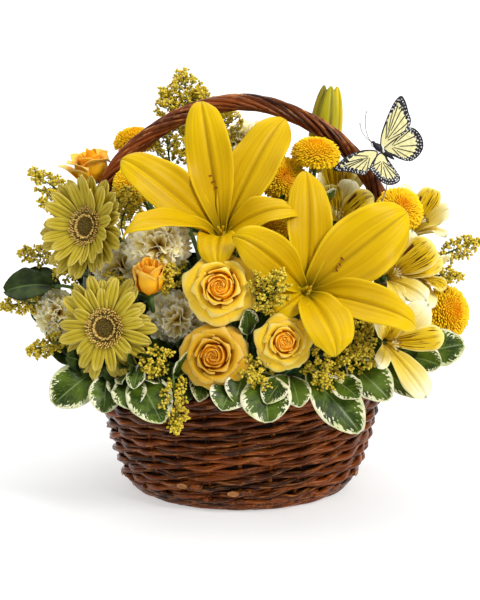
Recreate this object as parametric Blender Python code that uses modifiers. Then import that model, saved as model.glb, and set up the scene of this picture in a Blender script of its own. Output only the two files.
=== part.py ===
"""Flower basket arrangement: woven basket with a roped handle, liner, foam and cut flowers.

Row frame: metres, +Z up, origin at the centre of the basket's underside, front towards -Y.
"""
import math

import bmesh
import bpy
from mathutils import Vector

MM = 0.001
GAP = 0.3

# Basket, millimetres
BASE_R = 84.0
BASE_T = 7.0
FOOT_IN = BASE_R + GAP
FOOT_OUT = 96.0
FOOT_BOTTOM = 0.4
FOOT_TOP = 9.5
WALL_T = 5.0
WALL_PROFILE = ((96.0, FOOT_TOP + GAP), (102.5, 22.0), (110.5, 50.0), (116.8, 76.0), (120.5, 91.0))
WALL_TOP = WALL_PROFILE[-1][1]
RIM_TUBE_R = 6.0
RIM_RADIUS = 121.6
RIM_Z = WALL_TOP + GAP + RIM_TUBE_R
LINER_R = 84.0
LINER_T = 2.0
LINER_BOTTOM = BASE_T + GAP
LINER_TOP = 96.0
FOAM_R = 68.0
FOAM_BOTTOM = LINER_BOTTOM + LINER_T + GAP
FOAM_TOP = 118.0

# Handle, millimetres
HANDLE_TUBE_R = 7.0
HANDLE_HALF_SPAN = 120.0
HANDLE_CROWN = 105.0
HANDLE_SPRING_Z = 215.0
HANDLE_ROUNDNESS = 1.8
HANDLE_LEG = ((119.0, 190.0), (114.0, 140.0), (107.7, 97.0), (101.0, 65.0), (95.8, 42.0))

# Stems all point at one focus inside the foam
FOCUS = Vector((0.0, 0.0, 80.0))
STEM_START = 35.0
STEM_STRAIGHT = 82.0
STEM_SIDES = 6
HOLE_CLEAR = 0.4
HOLE_END = 100.0

TURN_STEPS = 40

# Points that crowded stems make for before they bend to their heads, millimetres
STEM_AIMS = {
    "alstroemeria_shade": Vector((104.0, 18.0, 236.0)),
    "carnation_left": Vector((-98.0, -32.0, 166.0)),
    "carnation_middle": Vector((-50.0, -88.0, 138.0)),
    "rose_small": Vector((-90.0, -76.0, 190.0)),
    "solidago_left_low": Vector((-150.0, -40.0, 132.0)),
    "gerbera_upper": Vector((-96.0, -50.0, 226.0)),
    "butterfly_wire": Vector((104.0, -62.0, 245.0)),
}


def aim(azimuth, elevation):
    """Unit vector; azimuth 0 is the front (-Y), positive towards +X."""
    a = math.radians(azimuth)
    e = math.radians(elevation)
    return Vector((math.sin(a) * math.cos(e), -math.cos(a) * math.cos(e), math.sin(e)))


def basis(normal):
    """Two unit vectors u, v with u x v along the normal, v as upright as it can be."""
    up = Vector((0.0, 0.0, 1.0))
    if abs(normal.z) > 0.98:
        up = Vector((0.0, 1.0, 0.0))
    u = up.cross(normal).normalized()
    v = normal.cross(u).normalized()
    return u, v


def material(name, colour, roughness, metallic=0.0):
    mat = bpy.data.materials.get(name)
    if mat:
        return mat
    mat = bpy.data.materials.new(name)
    mat.use_nodes = True
    shader = mat.node_tree.nodes["Principled BSDF"]
    shader.inputs["Base Color"].default_value = (*colour, 1.0)
    shader.inputs["Roughness"].default_value = roughness
    shader.inputs["Metallic"].default_value = metallic
    mat.diffuse_color = (*colour, 1.0)
    return mat


def register(name, mesh, mat, collection):
    obj = bpy.data.objects.new(name, mesh)
    collection.objects.link(obj)
    if mat:
        obj.data.materials.append(mat)
    return obj


class Skin:
    """A closed skin grown ring by ring; every ring runs anticlockwise about its own direction."""

    def __init__(self):
        self.points = []
        self.faces = []

    def ring(self, points):
        first = len(self.points)
        self.points.extend(points)
        return list(range(first, len(self.points)))

    def bridge(self, low, high, skip=()):
        """Join two rings; the high ring may have a whole multiple of the low ring's points."""
        count = len(low)
        ratio = len(high) // count
        for i in range(count):
            j = (i + 1) % count
            if ratio == 1:
                if i not in skip:
                    self.faces.append((low[i], low[j], high[j], high[i]))
                continue
            fan = [high[(ratio * i + k) % len(high)] for k in range(ratio + 1)]
            for k in range(ratio):
                self.faces.append((low[i], fan[k + 1], fan[k]))
            self.faces.append((low[i], low[j], fan[ratio]))

    def start_cap(self, ring):
        self.faces.append(tuple(reversed(ring)))

    def end_cap(self, ring, tip=None):
        if tip is None:
            self.faces.append(tuple(ring))
            return
        apex = self.ring([tip])[0]
        for i in range(len(ring)):
            self.faces.append((ring[i], ring[(i + 1) % len(ring)], apex))

    def branch(self, base, rings):
        """Grow a four-sided blade out of a loop of four points already in the skin."""
        last = base
        for points in rings:
            here = self.ring(points)
            self.bridge(last, here)
            last = here
        self.end_cap(last)

    def build(self, name, mat, collection):
        mesh = bpy.data.meshes.new(name)
        mesh.from_pydata([p * MM for p in self.points], [], self.faces)
        bm = bmesh.new()
        bm.from_mesh(mesh)
        bmesh.ops.triangulate(bm, faces=bm.faces[:])
        bmesh.ops.recalc_face_normals(bm, faces=bm.faces[:])
        bm.to_mesh(mesh)
        bm.free()
        return register(name, mesh, mat, collection)


def circle(centre, u, v, radius, count, lobes=0, depth=0.0, phase=0.0, wave=None):
    """Ring of points; lobes and depth scallop the radius, wave lifts points along a vector."""
    points = []
    for i in range(count):
        a = 2.0 * math.pi * i / count
        r = radius * (1.0 + depth * math.cos(lobes * a + phase))
        p = centre + u * (r * math.cos(a)) + v * (r * math.sin(a))
        if wave is not None:
            p = p + wave * math.cos(lobes * a + phase)
        points.append(p)
    return points


def bezier(p0, p1, p2, p3, t):
    s = 1.0 - t
    return p0 * s ** 3 + p1 * (3 * s * s * t) + p2 * (3 * s * t * t) + p3 * t ** 3


def grow_stem(name, skin, back, normal, u, radius, holes):
    """Stem from the foam to a point behind the head; returns its last ring."""
    along = (STEM_AIMS.get(name, back) - FOCUS).normalized()
    knee = FOCUS + along * STEM_STRAIGHT
    pull = (back - knee).length / 3.0
    side = (u - along * u.dot(along)).normalized()
    holes.append((along, radius, side))
    start = skin.ring(circle(FOCUS + along * STEM_START, side, along.cross(side), radius, STEM_SIDES))
    skin.start_cap(start)
    last = start
    previous = FOCUS + along * STEM_START
    samples = [knee]
    for t in (0.4, 0.75, 1.0):
        samples.append(bezier(knee, knee + along * pull, back - normal * pull, back, t))
    for k, centre in enumerate(samples):
        ahead = samples[k + 1] if k + 1 < len(samples) else centre + normal
        tangent = (ahead - previous).normalized() if 0 < k else along
        side = (u - tangent * u.dot(tangent)).normalized()
        here = skin.ring(circle(centre, side, tangent.cross(side), radius, STEM_SIDES))
        skin.bridge(last, here)
        last = here
        previous = centre
    return last


def petal_rings(head, e, side, normal, path, widths, thickness):
    """Four-cornered sections along a petal; path holds (out, forward) pairs from the head."""
    rings = []
    for k in range(1, len(path)):
        before = path[k - 1]
        after = path[min(k + 1, len(path) - 1)]
        run = after[0] - before[0]
        rise = after[1] - before[1]
        size = math.hypot(run, rise)
        face = (normal * run - e * rise) / size * (thickness / 2.0)
        centre = head + e * path[k][0] + normal * path[k][1]
        half = side * (widths[k] / 2.0)
        rings.append([centre - half - face, centre + half - face,
                      centre + half + face, centre - half + face])
    return rings


def petalled(name, head, normal, stem_r, hub_r, hub_t, petals, centre_h, mats, collection,
             holes, neck=8.0):
    """Open flower: a hub with one blade grown out of it for each petal.

    Each petal is (angle, out, forward, arch, width, profile), all about the facing axis.
    """
    u, v = basis(normal)
    skin = Skin()
    last = grow_stem(name, skin, head - normal * (hub_t / 2.0 + neck), normal, u, stem_r, holes)
    petals = sorted(petals, key=lambda p: p[0])
    count = len(petals)
    half = 0.36 * 2.0 * math.pi / count
    low = []
    high = []
    for p in petals:
        for a in (p[0] - half, p[0] + half):
            e = u * math.cos(a) + v * math.sin(a)
            low.append(head + e * hub_r - normal * (hub_t / 2.0))
            high.append(head + e * hub_r + normal * (hub_t / 2.0))
    low = skin.ring(low)
    high = skin.ring(high)
    skin.bridge(last, low)
    skin.bridge(low, high, skip=range(0, 2 * count, 2))
    for k, (angle, out, forward, arch, width, profile) in enumerate(petals):
        e = u * math.cos(angle) + v * math.sin(angle)
        side = v * math.cos(angle) - u * math.sin(angle)
        path = []
        steps = len(profile)
        for i in range(steps + 1):
            t = i / steps
            path.append((hub_r + (out - hub_r) * t, forward * t + arch * 4.0 * t * (1.0 - t)))
        widths = [0.0] + [width * f for f in profile]
        base = [low[2 * k], low[2 * k + 1], high[2 * k + 1], high[2 * k]]
        skin.branch(base, petal_rings(head, e, side, normal, path, widths, hub_t * 0.8))
    skin.end_cap(high, head + normal * centre_h)
    return skin.build(name, mats, collection)


def petals_to(head, normal, tips, width, arch, profile):
    """Petals that reach given tip points."""
    u, v = basis(normal)
    out = []
    for tip, wide in tips:
        d = Vector(tip) - head
        rise = d.dot(normal)
        flat = d - normal * rise
        angle = math.atan2(flat.dot(v), flat.dot(u)) % (2.0 * math.pi)
        out.append((angle, flat.length, rise, arch, width * wide, profile))
    return out


def cupped(name, head, normal, stem_r, count, profile, mat, collection, holes):
    """Full flower head lofted about its axis.

    The profile rows are (radius, forward, lobes, scallop depth, phase).
    """
    u, v = basis(normal)
    skin = Skin()
    back = head + normal * (profile[0][1] - 4.0)
    last = grow_stem(name, skin, back, normal, u, stem_r, holes)
    for radius, forward, lobes, depth, phase in profile:
        here = skin.ring(circle(head + normal * forward, u, v, radius, count, lobes, depth, phase))
        skin.bridge(last, here)
        last = here
    skin.end_cap(last, head + normal * (profile[-1][1] + 0.4))
    return skin.build(name, mat, collection)


def rose_profile(r):
    return ((0.28 * r, -0.75 * r, 5, 0.0, 0.0), (0.62 * r, -0.50 * r, 5, 0.03, 0.0),
            (0.80 * r, -0.20 * r, 5, 0.05, 0.0), (1.00 * r, 0.10 * r, 5, 0.07, 0.6),
            (0.94 * r, 0.16 * r, 5, 0.07, 0.6), (0.74 * r, 0.02 * r, 5, 0.03, 2.0),
            (0.66 * r, 0.38 * r, 3, 0.05, 0.0), (0.46 * r, 0.40 * r, 3, 0.05, 0.0),
            (0.26 * r, 0.34 * r, 3, 0.05, 1.0))


def pom_profile(r):
    return ((0.50 * r, -0.42 * r, 6, 0.0, 0.0), (0.92 * r, -0.22 * r, 6, 0.02, 0.0),
            (1.00 * r, 0.02 * r, 6, 0.02, 0.0), (0.88 * r, 0.30 * r, 6, 0.02, 0.0),
            (0.58 * r, 0.50 * r, 6, 0.02, 0.0), (0.22 * r, 0.58 * r, 6, 0.0, 0.0))


def carnation_profile(r):
    return ((0.26 * r, -0.85 * r, 6, 0.0, 0.0), (0.32 * r, -0.55 * r, 6, 0.0, 0.0),
            (0.80 * r, -0.30 * r, 6, 0.10, 0.0), (1.00 * r, -0.02 * r, 6, 0.09, 0.0),
            (0.86 * r, 0.28 * r, 6, 0.12, 3.14), (0.56 * r, 0.50 * r, 6, 0.12, 0.0),
            (0.24 * r, 0.58 * r, 6, 0.08, 3.14))


def bud_profile(r, length):
    return ((0.45 * r, 0.0, 6, 0.0, 0.0), (0.82 * r, 0.16 * length, 6, 0.04, 0.0),
            (1.00 * r, 0.38 * length, 6, 0.06, 0.0), (0.96 * r, 0.62 * length, 6, 0.06, 0.0),
            (0.72 * r, 0.84 * length, 6, 0.05, 0.0), (0.34 * r, 0.97 * length, 6, 0.0, 0.0))


def plume(name, base, tip, r, mat, collection, holes, stem_r=1.1):
    """Solidago spray: a thin stem swelling into a bumpy tapering flower plume."""
    base = Vector(base)
    tip = Vector(tip)
    normal = (tip - base).normalized()
    length = (tip - base).length
    u, v = basis(normal)
    skin = Skin()
    last = grow_stem(name, skin, base - normal * 3.0, normal, u, stem_r, holes)
    for t, f in ((0.0, 0.35), (0.12, 0.95), (0.28, 0.70), (0.42, 1.0), (0.58, 0.62),
                 (0.72, 0.80), (0.88, 0.45), (0.98, 0.25)):
        twist = 0.5 * (1 if f > 0.7 else 0)
        here = skin.ring(circle(base + normal * (length * t), u, v, r * f, STEM_SIDES, 3, 0.12, twist))
        skin.bridge(last, here)
        last = here
    skin.end_cap(last, tip)
    return skin.build(name, mat, collection)


LEAF_THICK = 1.0
LEAF_TURN = 0.3
LEAF_ARCH = 16.0
LEAF_SHAPE = ((0.10, 0.45), (0.28, 0.86), (0.50, 1.0), (0.72, 0.86), (0.90, 0.50), (0.99, 0.12))


def sprig(name, base, tip, face, width, droop, side_leaves, mat, collection, holes):
    """Leafy twig: one leaf carries the stem on, the others grow out of the twig's sides."""
    base = Vector(base)
    tip = Vector(tip)
    face = Vector(face).normalized()
    axis = (tip - base).normalized()
    skin = Skin()
    flat = (face - axis * face.dot(axis)).normalized()
    across = flat.cross(axis).normalized()
    last = grow_stem(name, skin, base - axis * 6.0, axis, across, 1.1, holes)
    for k, (offset, leaf_tip, leaf_width) in enumerate(side_leaves):
        twig = base - axis * (5.5 - 2.4 * k)
        here = skin.ring(circle(twig, across, axis.cross(across), 1.2, STEM_SIDES))
        pick = offset % STEM_SIDES
        skin.bridge(last, here, skip=(pick,))
        loop = [last[pick], last[(pick + 1) % STEM_SIDES], here[(pick + 1) % STEM_SIDES], here[pick]]
        root = sum((skin.points[i] for i in loop), Vector()) / 4.0
        skin.branch(loop, loop_sections(skin, loop, root, Vector(leaf_tip), leaf_width))
        last = here
    rings = flat_loft(base, tip, face, width, droop)
    for points in rings:
        here = skin.ring(points)
        skin.bridge(last, here)
        last = here
    skin.end_cap(last)
    return skin.build(name, mat, collection)


def loop_sections(skin, loop, root, tip, width):
    """Leaf sections that follow on from a loop of four points, turning to lie flat."""
    corner = [skin.points[i] for i in loop]
    first = (corner[1] - corner[0]).normalized()
    axis = tip - root
    length = axis.length
    axis = axis / length
    level = Vector((0.0, 0.0, 1.0)).cross(axis).normalized()
    if level.dot(first) < 0.0:
        level = -level
    rings = []
    for t, f in LEAF_SHAPE:
        across = first.lerp(level, min(1.0, t / LEAF_TURN))
        across = (across - axis * across.dot(axis)).normalized()
        thick = axis.cross(across) * (LEAF_THICK / 2.0)
        centre = root + axis * (length * t) + Vector((0.0, 0.0, LEAF_ARCH * t * (1.0 - t)))
        half = across * (width * f / 2.0)
        rings.append([centre - half - thick, centre + half - thick,
                      centre + half + thick, centre - half + thick])
    return rings


def flat_loft(base, tip, face, width, droop):
    """Six-cornered leaf sections that follow on from a round stem."""
    axis = tip - base
    length = axis.length
    axis = axis / length
    flat = (face - axis * face.dot(axis)).normalized()
    across = flat.cross(axis).normalized()
    up = axis.cross(across)
    rings = []
    for t, f in LEAF_SHAPE:
        centre = base + axis * (length * t) + flat * (droop * 4.0 * t * (1.0 - t))
        points = []
        for i in range(STEM_SIDES):
            a = 2.0 * math.pi * i / STEM_SIDES
            points.append(centre + across * (width * f / 2.0 * math.cos(a)) + up * (0.65 * math.sin(a)))
        rings.append(points)
    return rings


def turned(name, profile, mat, collection, closed):
    """Screw a profile about Z; open profiles start and end on the axis."""
    mesh = bpy.data.meshes.new(name)
    edges = [(i, i + 1) for i in range(len(profile) - 1)]
    if closed:
        edges.append((len(profile) - 1, 0))
    mesh.from_pydata([(r * MM, 0.0, z * MM) for r, z in profile], edges, [])
    obj = register(name, mesh, mat, collection)
    screw = obj.modifiers.new("turn", "SCREW")
    screw.axis = "Z"
    screw.steps = TURN_STEPS
    screw.render_steps = TURN_STEPS
    screw.use_merge_vertices = True
    screw.merge_threshold = 0.0001
    return obj


def ring_tube(name, radius, z, tube_r, sides, mat, collection):
    profile = []
    for i in range(sides):
        a = math.pi / 2.0 - 2.0 * math.pi * (i + 0.5) / sides
        profile.append((radius + tube_r * math.cos(a), z + tube_r * math.sin(a)))
    return turned(name, profile, mat, collection, True)


def handle_line():
    """Centreline from the left leg's foot over the crown to the right leg's foot."""
    crown = []
    steps = 12
    power = 2.0 / HANDLE_ROUNDNESS
    for i in range(steps + 1):
        a = math.pi * i / steps
        c = math.cos(a)
        s = math.sin(a)
        x = -math.copysign(abs(c) ** power, c) * HANDLE_HALF_SPAN
        crown.append((x, HANDLE_SPRING_Z + HANDLE_CROWN * abs(s) ** power))
    left = [(-x, z) for x, z in reversed(HANDLE_LEG)]
    return left + crown + list(HANDLE_LEG)


def build_handle(mat, collection):
    line = bpy.data.curves.new("handle_line", "CURVE")
    line.dimensions = "3D"
    spline = line.splines.new("POLY")
    points = handle_line()
    spline.points.add(len(points) - 1)
    for point, (x, z) in zip(spline.points, points):
        point.co = (x * MM, 0.0, z * MM, 1.0)
    line.bevel_depth = HANDLE_TUBE_R * MM
    line.bevel_resolution = 1
    line.use_fill_caps = True
    temp = bpy.data.objects.new("handle_line", line)
    collection.objects.link(temp)
    bpy.context.view_layer.update()
    mesh = bpy.data.meshes.new_from_object(temp.evaluated_get(bpy.context.evaluated_depsgraph_get()))
    bpy.data.objects.remove(temp)
    bpy.data.curves.remove(line)
    bm = bmesh.new()
    bm.from_mesh(mesh)
    bmesh.ops.remove_doubles(bm, verts=bm.verts[:], dist=1e-6)
    bmesh.ops.recalc_face_normals(bm, faces=bm.faces[:])
    bm.to_mesh(mesh)
    bm.free()
    mesh.materials.clear()
    return register("handle", mesh, mat, collection)


def foam_cutter(holes, collection):
    """One mesh holding a six-sided rod for each stem, a little wider than the stem."""
    skin = Skin()
    for along, radius, side in holes:
        across = along.cross(side)
        low = skin.ring(circle(FOCUS + along * (STEM_START - HOLE_CLEAR), side, across,
                               radius + HOLE_CLEAR, STEM_SIDES))
        high = skin.ring(circle(FOCUS + along * HOLE_END, side, across,
                                radius + HOLE_CLEAR, STEM_SIDES))
        skin.start_cap(low)
        skin.bridge(low, high)
        skin.end_cap(high)
    cutter = skin.build("stem_hole_cutter", None, collection)
    cutter.hide_render = True
    cutter.display_type = "WIRE"
    return cutter


def wing_plate(name, root, out, rear, outline, thickness, mat, collection):
    """Flat wing pair; outline pairs run out from the body and back along it."""
    normal = out.cross(rear).normalized()
    skin = Skin()
    flat = [root + out * a + rear * b for a, b in outline]
    low = skin.ring([p - normal * (thickness / 2.0) for p in flat])
    high = skin.ring([p + normal * (thickness / 2.0) for p in flat])
    skin.start_cap(low)
    skin.bridge(low, high)
    skin.end_cap(high)
    return skin.build(name, mat, collection)


LILY_SHAPE = (0.52, 0.80, 0.98, 1.0, 0.74, 0.14)
ALSTRO_SHAPE = (0.55, 0.90, 1.0, 0.30)
GERBERA_SHAPE = (0.90, 1.0, 0.50)
GERBERA_PETALS = 18


def build_basket(mats, collection):
    woven = mats["wicker"]
    turned("basket_base", ((0.0, BASE_T), (BASE_R - 1.0, BASE_T), (BASE_R, BASE_T - 1.0),
                           (BASE_R, 1.5), (BASE_R - 4.0, 0.0), (0.0, 0.0)), woven, collection, False)
    mid = (FOOT_TOP + FOOT_BOTTOM) / 2.0
    turned("foot_wale", ((FOOT_IN, mid + 3.0), (FOOT_IN + 2.0, FOOT_TOP), (FOOT_OUT - 2.0, FOOT_TOP),
                         (FOOT_OUT, mid + 2.0), (FOOT_OUT - 1.0, mid - 1.5),
                         (FOOT_OUT - 5.0, FOOT_BOTTOM), (FOOT_IN + 1.0, FOOT_BOTTOM),
                         (FOOT_IN, mid - 2.0)), woven, collection, True)
    outer = list(reversed(WALL_PROFILE))
    inner = [(r - WALL_T, z) for r, z in WALL_PROFILE]
    turned("basket_wall", outer + inner, woven, collection, True)
    ring_tube("rim_border", RIM_RADIUS, RIM_Z, RIM_TUBE_R, 7, woven, collection)
    build_handle(mats["handle"], collection)
    turned("liner", ((0.0, LINER_BOTTOM + LINER_T), (LINER_R - LINER_T, LINER_BOTTOM + LINER_T),
                     (LINER_R - LINER_T, LINER_TOP), (LINER_R, LINER_TOP), (LINER_R, LINER_BOTTOM),
                     (0.0, LINER_BOTTOM)), mats["liner"], collection, False)


def build_foam(mats, collection, cutters, holes):
    foam = turned("floral_foam", ((0.0, FOAM_TOP), (FOAM_R - 6.0, FOAM_TOP), (FOAM_R, FOAM_TOP - 6.0),
                                  (FOAM_R, FOAM_BOTTOM), (0.0, FOAM_BOTTOM)), mats["foam"],
                  collection, False)
    cutter = foam_cutter(holes, cutters)
    cut = foam.modifiers.new("stem_holes", "BOOLEAN")
    cut.operation = "DIFFERENCE"
    cut.solver = "EXACT"
    cut.object = cutter


def build_lilies(mats, collection, holes):
    yellow = mats["lily"]
    head = Vector((-15.0, -62.0, 224.0))
    facing = aim(-8.0, 44.0)
    tips = (((-31.0, -35.0, 322.0), 1.0), ((-91.0, -62.0, 282.0), 1.0), ((35.0, -22.0, 306.0), 1.05),
            ((-88.0, -106.0, 232.0), 0.70), ((-18.0, -112.0, 221.0), 0.75), ((42.0, -72.0, 240.0), 0.75))
    petalled("lily_left", head, facing, 2.3, 8.0, 3.0,
             petals_to(head, facing, tips, 38.0, 7.0, LILY_SHAPE), -1.0, yellow, collection, holes)
    head = Vector((53.0, -92.0, 183.0))
    facing = aim(10.0, 24.0)
    tips = (((52.0, -62.0, 271.0), 0.9), ((129.0, -76.0, 239.0), 1.1), ((-2.0, -112.0, 228.0), 0.95),
            ((134.0, -128.0, 168.0), 0.8), ((77.0, -142.0, 146.0), 0.75), ((16.0, -118.0, 168.0), 0.6))
    petalled("lily_right", head, facing, 2.3, 8.0, 3.0,
             petals_to(head, facing, tips, 38.0, 7.0, LILY_SHAPE), -1.0, yellow, collection, holes)
    base = Vector((66.0, 26.0, 262.0))
    tip = Vector((73.0, 36.0, 330.0))
    axis = (tip - base).normalized()
    cupped("lily_bud", base, axis, 2.0, 12, bud_profile(11.0, 68.0), mats["bud"], collection, holes)


def build_gerberas(mats, collection, holes):
    rows = (("gerbera_upper", (-120.0, -60.0, 227.0), -38.0, 14.0, 36.0),
            ("gerbera_lower", (-105.0, -98.0, 154.0), -22.0, 8.0, 40.0))
    for name, head, azimuth, elevation, radius in rows:
        petals = []
        for k in range(GERBERA_PETALS):
            angle = 2.0 * math.pi * k / GERBERA_PETALS
            reach = radius * (1.0 - 0.06 * (k % 2))
            petals.append((angle, reach, 3.0, 1.5, radius * 0.18, GERBERA_SHAPE))
        petalled(name, Vector(head), aim(azimuth, elevation), 2.2, radius * 0.34, 2.2, petals, 3.0,
                 mats["gerbera"], collection, holes)


def build_roses(mats, collection, holes):
    rows = (("rose_upper", (-14.0, -122.0, 190.0), -4.0, 14.0, 27.0),
            ("rose_lower", (-18.0, -128.0, 139.0), -6.0, 10.0, 26.0),
            ("rose_right", (31.0, -133.0, 153.0), 4.0, 12.0, 20.0),
            ("rose_small", (-70.0, -98.0, 193.0), -30.0, 42.0, 14.0),
            ("rose_side", (-126.0, 26.0, 258.0), -70.0, 62.0, 18.0),
            ("rose_back", (-52.0, 96.0, 214.0), 205.0, 35.0, 26.0))
    for name, head, azimuth, elevation, radius in rows:
        cupped(name, Vector(head), aim(azimuth, elevation), 1.9, 12, rose_profile(radius),
               mats["rose"], collection, holes)


def build_poms(mats, collection, holes):
    rows = (("pom_left_back", (-92.0, 36.0, 284.0), -35.0, 62.0, 17.0),
            ("pom_left", (-84.0, -20.0, 255.0), -20.0, 30.0, 16.0),
            ("pom_top", (61.0, -28.0, 280.0), 15.0, 45.0, 18.0),
            ("pom_centre", (36.0, -8.0, 252.0), 10.0, 35.0, 15.0),
            ("pom_middle", (22.0, -52.0, 226.0), 5.0, 50.0, 12.0),
            ("pom_right_high", (131.0, -36.0, 238.0), 30.0, 45.0, 18.0),
            ("pom_right_low", (169.0, -29.0, 150.0), 62.0, 10.0, 20.0))
    for name, head, azimuth, elevation, radius in rows:
        cupped(name, Vector(head), aim(azimuth, elevation), 1.7, 12, pom_profile(radius),
               mats["pom"], collection, holes)


def build_carnations(mats, collection, holes):
    rows = (("carnation_upper", (-62.0, -62.0, 216.0), -25.0, 35.0, 22.0),
            ("carnation_left", (-96.0, -38.0, 184.0), -35.0, 25.0, 17.0),
            ("carnation_low_left", (-153.0, -36.0, 150.0), -70.0, 12.0, 20.0),
            ("carnation_middle", (-48.0, -86.0, 156.0), -16.0, 15.0, 17.0),
            ("carnation_top", (8.0, 38.0, 284.0), 20.0, 75.0, 19.0),
            ("carnation_back", (48.0, 92.0, 208.0), 160.0, 38.0, 24.0))
    for name, head, azimuth, elevation, radius in rows:
        cupped(name, Vector(head), aim(azimuth, elevation), 1.7, 12, carnation_profile(radius),
               mats["carnation"], collection, holes)


def build_alstroemerias(mats, collection, holes):
    rows = (("alstroemeria_upper", (134.0, -62.0, 201.0), 35.0, 22.0, 27.0, 0.2),
            ("alstroemeria_front", (124.0, -88.0, 147.0), 28.0, 2.0, 33.0, 0.5),
            ("alstroemeria_high", (152.0, 14.0, 228.0), 60.0, 40.0, 25.0, 0.0),
            ("alstroemeria_low", (146.0, -44.0, 177.0), 50.0, 14.0, 20.0, 0.9),
            ("alstroemeria_inner", (88.0, -20.0, 226.0), 20.0, 45.0, 18.0, 0.3),
            ("alstroemeria_shade", (84.0, 24.0, 246.0), 30.0, 60.0, 18.0, 0.0))
    for name, head, azimuth, elevation, radius, roll in rows:
        petals = []
        for k in range(6):
            angle = (roll + 2.0 * math.pi * k / 6.0) % (2.0 * math.pi)
            lift = 0.55 if k % 2 else 0.40
            petals.append((angle, radius, radius * lift, 2.0, radius * 0.44, ALSTRO_SHAPE))
        petalled(name, Vector(head), aim(azimuth, elevation), 1.5, 4.0, 2.0, petals, -0.5,
                 mats["alstroemeria"], collection, holes, neck=6.0)


def build_fillers(mats, collection, holes):
    rows = (("solidago_top", (-42.0, 30.0, 286.0), (-46.0, 36.0, 340.0), 12.0),
            ("solidago_left_high", (-142.0, 6.0, 240.0), (-170.0, 0.0, 261.0), 9.0),
            ("solidago_left_mid", (-156.0, -18.0, 193.0), (-178.0, -20.0, 199.0), 7.0),
            ("solidago_left_low", (-158.0, -8.0, 112.0), (-192.0, -40.0, 158.0), 8.0),
            ("solidago_front_hang", (-44.0, -126.0, 112.0), (-51.0, -138.0, 78.0), 9.0),
            ("solidago_front_mid", (16.0, -112.0, 118.0), (12.0, -138.0, 130.0), 10.0),
            ("solidago_front_right", (74.0, -104.0, 124.0), (84.0, -136.0, 128.0), 13.0),
            ("solidago_right", (162.0, -14.0, 192.0), (195.0, -20.0, 207.0), 8.0))
    for name, base, tip, radius in rows:
        plume(name, base, tip, radius, mats["solidago"], collection, holes)


def build_leaves(mats, collection, holes):
    leaf = mats["leaf"]
    up = (0.0, -0.4, 1.0)
    sprig("sprig_left", (-154.0, -46.0, 176.0), (-190.0, -48.0, 174.0), up, 26.0, 3.0,
          (), leaf, collection, holes)
    sprig("sprig_left_low", (-118.0, -84.0, 114.0), (-144.0, -104.0, 92.0), (-0.4, -0.6, 0.8), 30.0,
          3.0, (), leaf, collection, holes)
    sprig("sprig_front_left", (-84.0, -104.0, 115.0), (-72.0, -142.0, 90.0), (0.0, -0.7, 0.8), 29.0,
          3.0, (), leaf, collection, holes)
    sprig("sprig_front_mid", (-6.0, -128.0, 112.0), (-6.0, -146.0, 102.0), (0.0, -0.5, 0.9), 24.0,
          1.0, (), leaf, collection, holes)
    sprig("sprig_front_centre", (30.0, -124.0, 113.0), (26.0, -146.0, 94.0), (0.0, -0.7, 0.8), 30.0,
          2.0, (), leaf, collection, holes)
    sprig("sprig_front_right", (60.0, -122.0, 112.0), (90.0, -138.0, 84.0), (0.2, -0.7, 0.7), 31.0,
          3.0, (), leaf, collection, holes)
    sprig("sprig_right_front", (96.0, -92.0, 114.0), (132.0, -104.0, 98.0), (0.4, -0.6, 0.8), 26.0,
          3.0, (), leaf, collection, holes)
    sprig("sprig_right", (140.0, -62.0, 119.0), (181.0, -60.0, 128.0), (0.2, -0.5, 0.9), 28.0,
          3.0, (), leaf, collection, holes)
    sprig("sprig_back_left", (-88.0, 88.0, 134.0), (-122.0, 128.0, 112.0), (-0.4, 0.5, 0.8), 32.0,
          4.0, ((5, (-42.0, 122.0, 124.0), 30.0), (2, (-128.0, 66.0, 130.0), 30.0)), leaf,
          collection, holes)
    sprig("sprig_back_right", (84.0, 90.0, 134.0), (118.0, 130.0, 112.0), (0.4, 0.5, 0.8), 32.0,
          4.0, ((2, (36.0, 126.0, 124.0), 30.0), (5, (126.0, 66.0, 130.0), 30.0)), leaf,
          collection, holes)


def build_butterfly(mats, collection, holes):
    head = Vector((105.0, -46.0, 293.0))
    tail = Vector((122.0, -44.0, 280.0))
    axis = (head - tail).normalized()
    u, v = basis(axis)
    skin = Skin()
    length = (head - tail).length
    rings = ((0.0, 0.6), (0.25, 1.5), (0.45, 1.3), (0.58, 2.2), (0.80, 2.0), (0.86, 1.2), (0.94, 1.6))
    last = None
    for t, r in rings:
        here = skin.ring(circle(tail + axis * (length * t), u, v, r, 8))
        if last is None:
            skin.start_cap(here)
        else:
            skin.bridge(last, here)
        last = here
    skin.end_cap(last, head)
    skin.build("butterfly_body", mats["fly_body"], collection)
    root = tail + axis * (length * 0.62)
    rear = -axis
    right = Vector((126.0, -40.0, 329.0)) - root
    right = (right - rear * right.dot(rear)).normalized()
    left = Vector((73.0, -66.0, 280.0)) - root
    left = (left - rear * left.dot(rear)).normalized()
    shape = ((2.6, -4.0), (30.0, -18.0), (39.0, -17.0), (36.0, -6.0), (27.0, 2.0), (31.0, 12.0),
             (24.0, 22.0), (12.0, 20.0), (2.6, 5.0))
    wing_plate("butterfly_wings_right", root, right, rear, shape, 0.8, mats["fly_wing"], collection)
    shape_left = tuple((a, b) for a, b in reversed(shape))
    wing_plate("butterfly_wings_left", root, left, rear, shape_left, 0.8, mats["fly_wing"], collection)
    skin = Skin()
    top = tail + axis * (length * 0.30) + Vector((0.0, 0.0, -2.2))
    last = grow_stem("butterfly_wire", skin, top, Vector((-0.25, 0.1, 1.0)).normalized(), u, 0.7, holes)
    skin.end_cap(last)
    skin.build("butterfly_wire", mats["wire"], collection)


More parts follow.
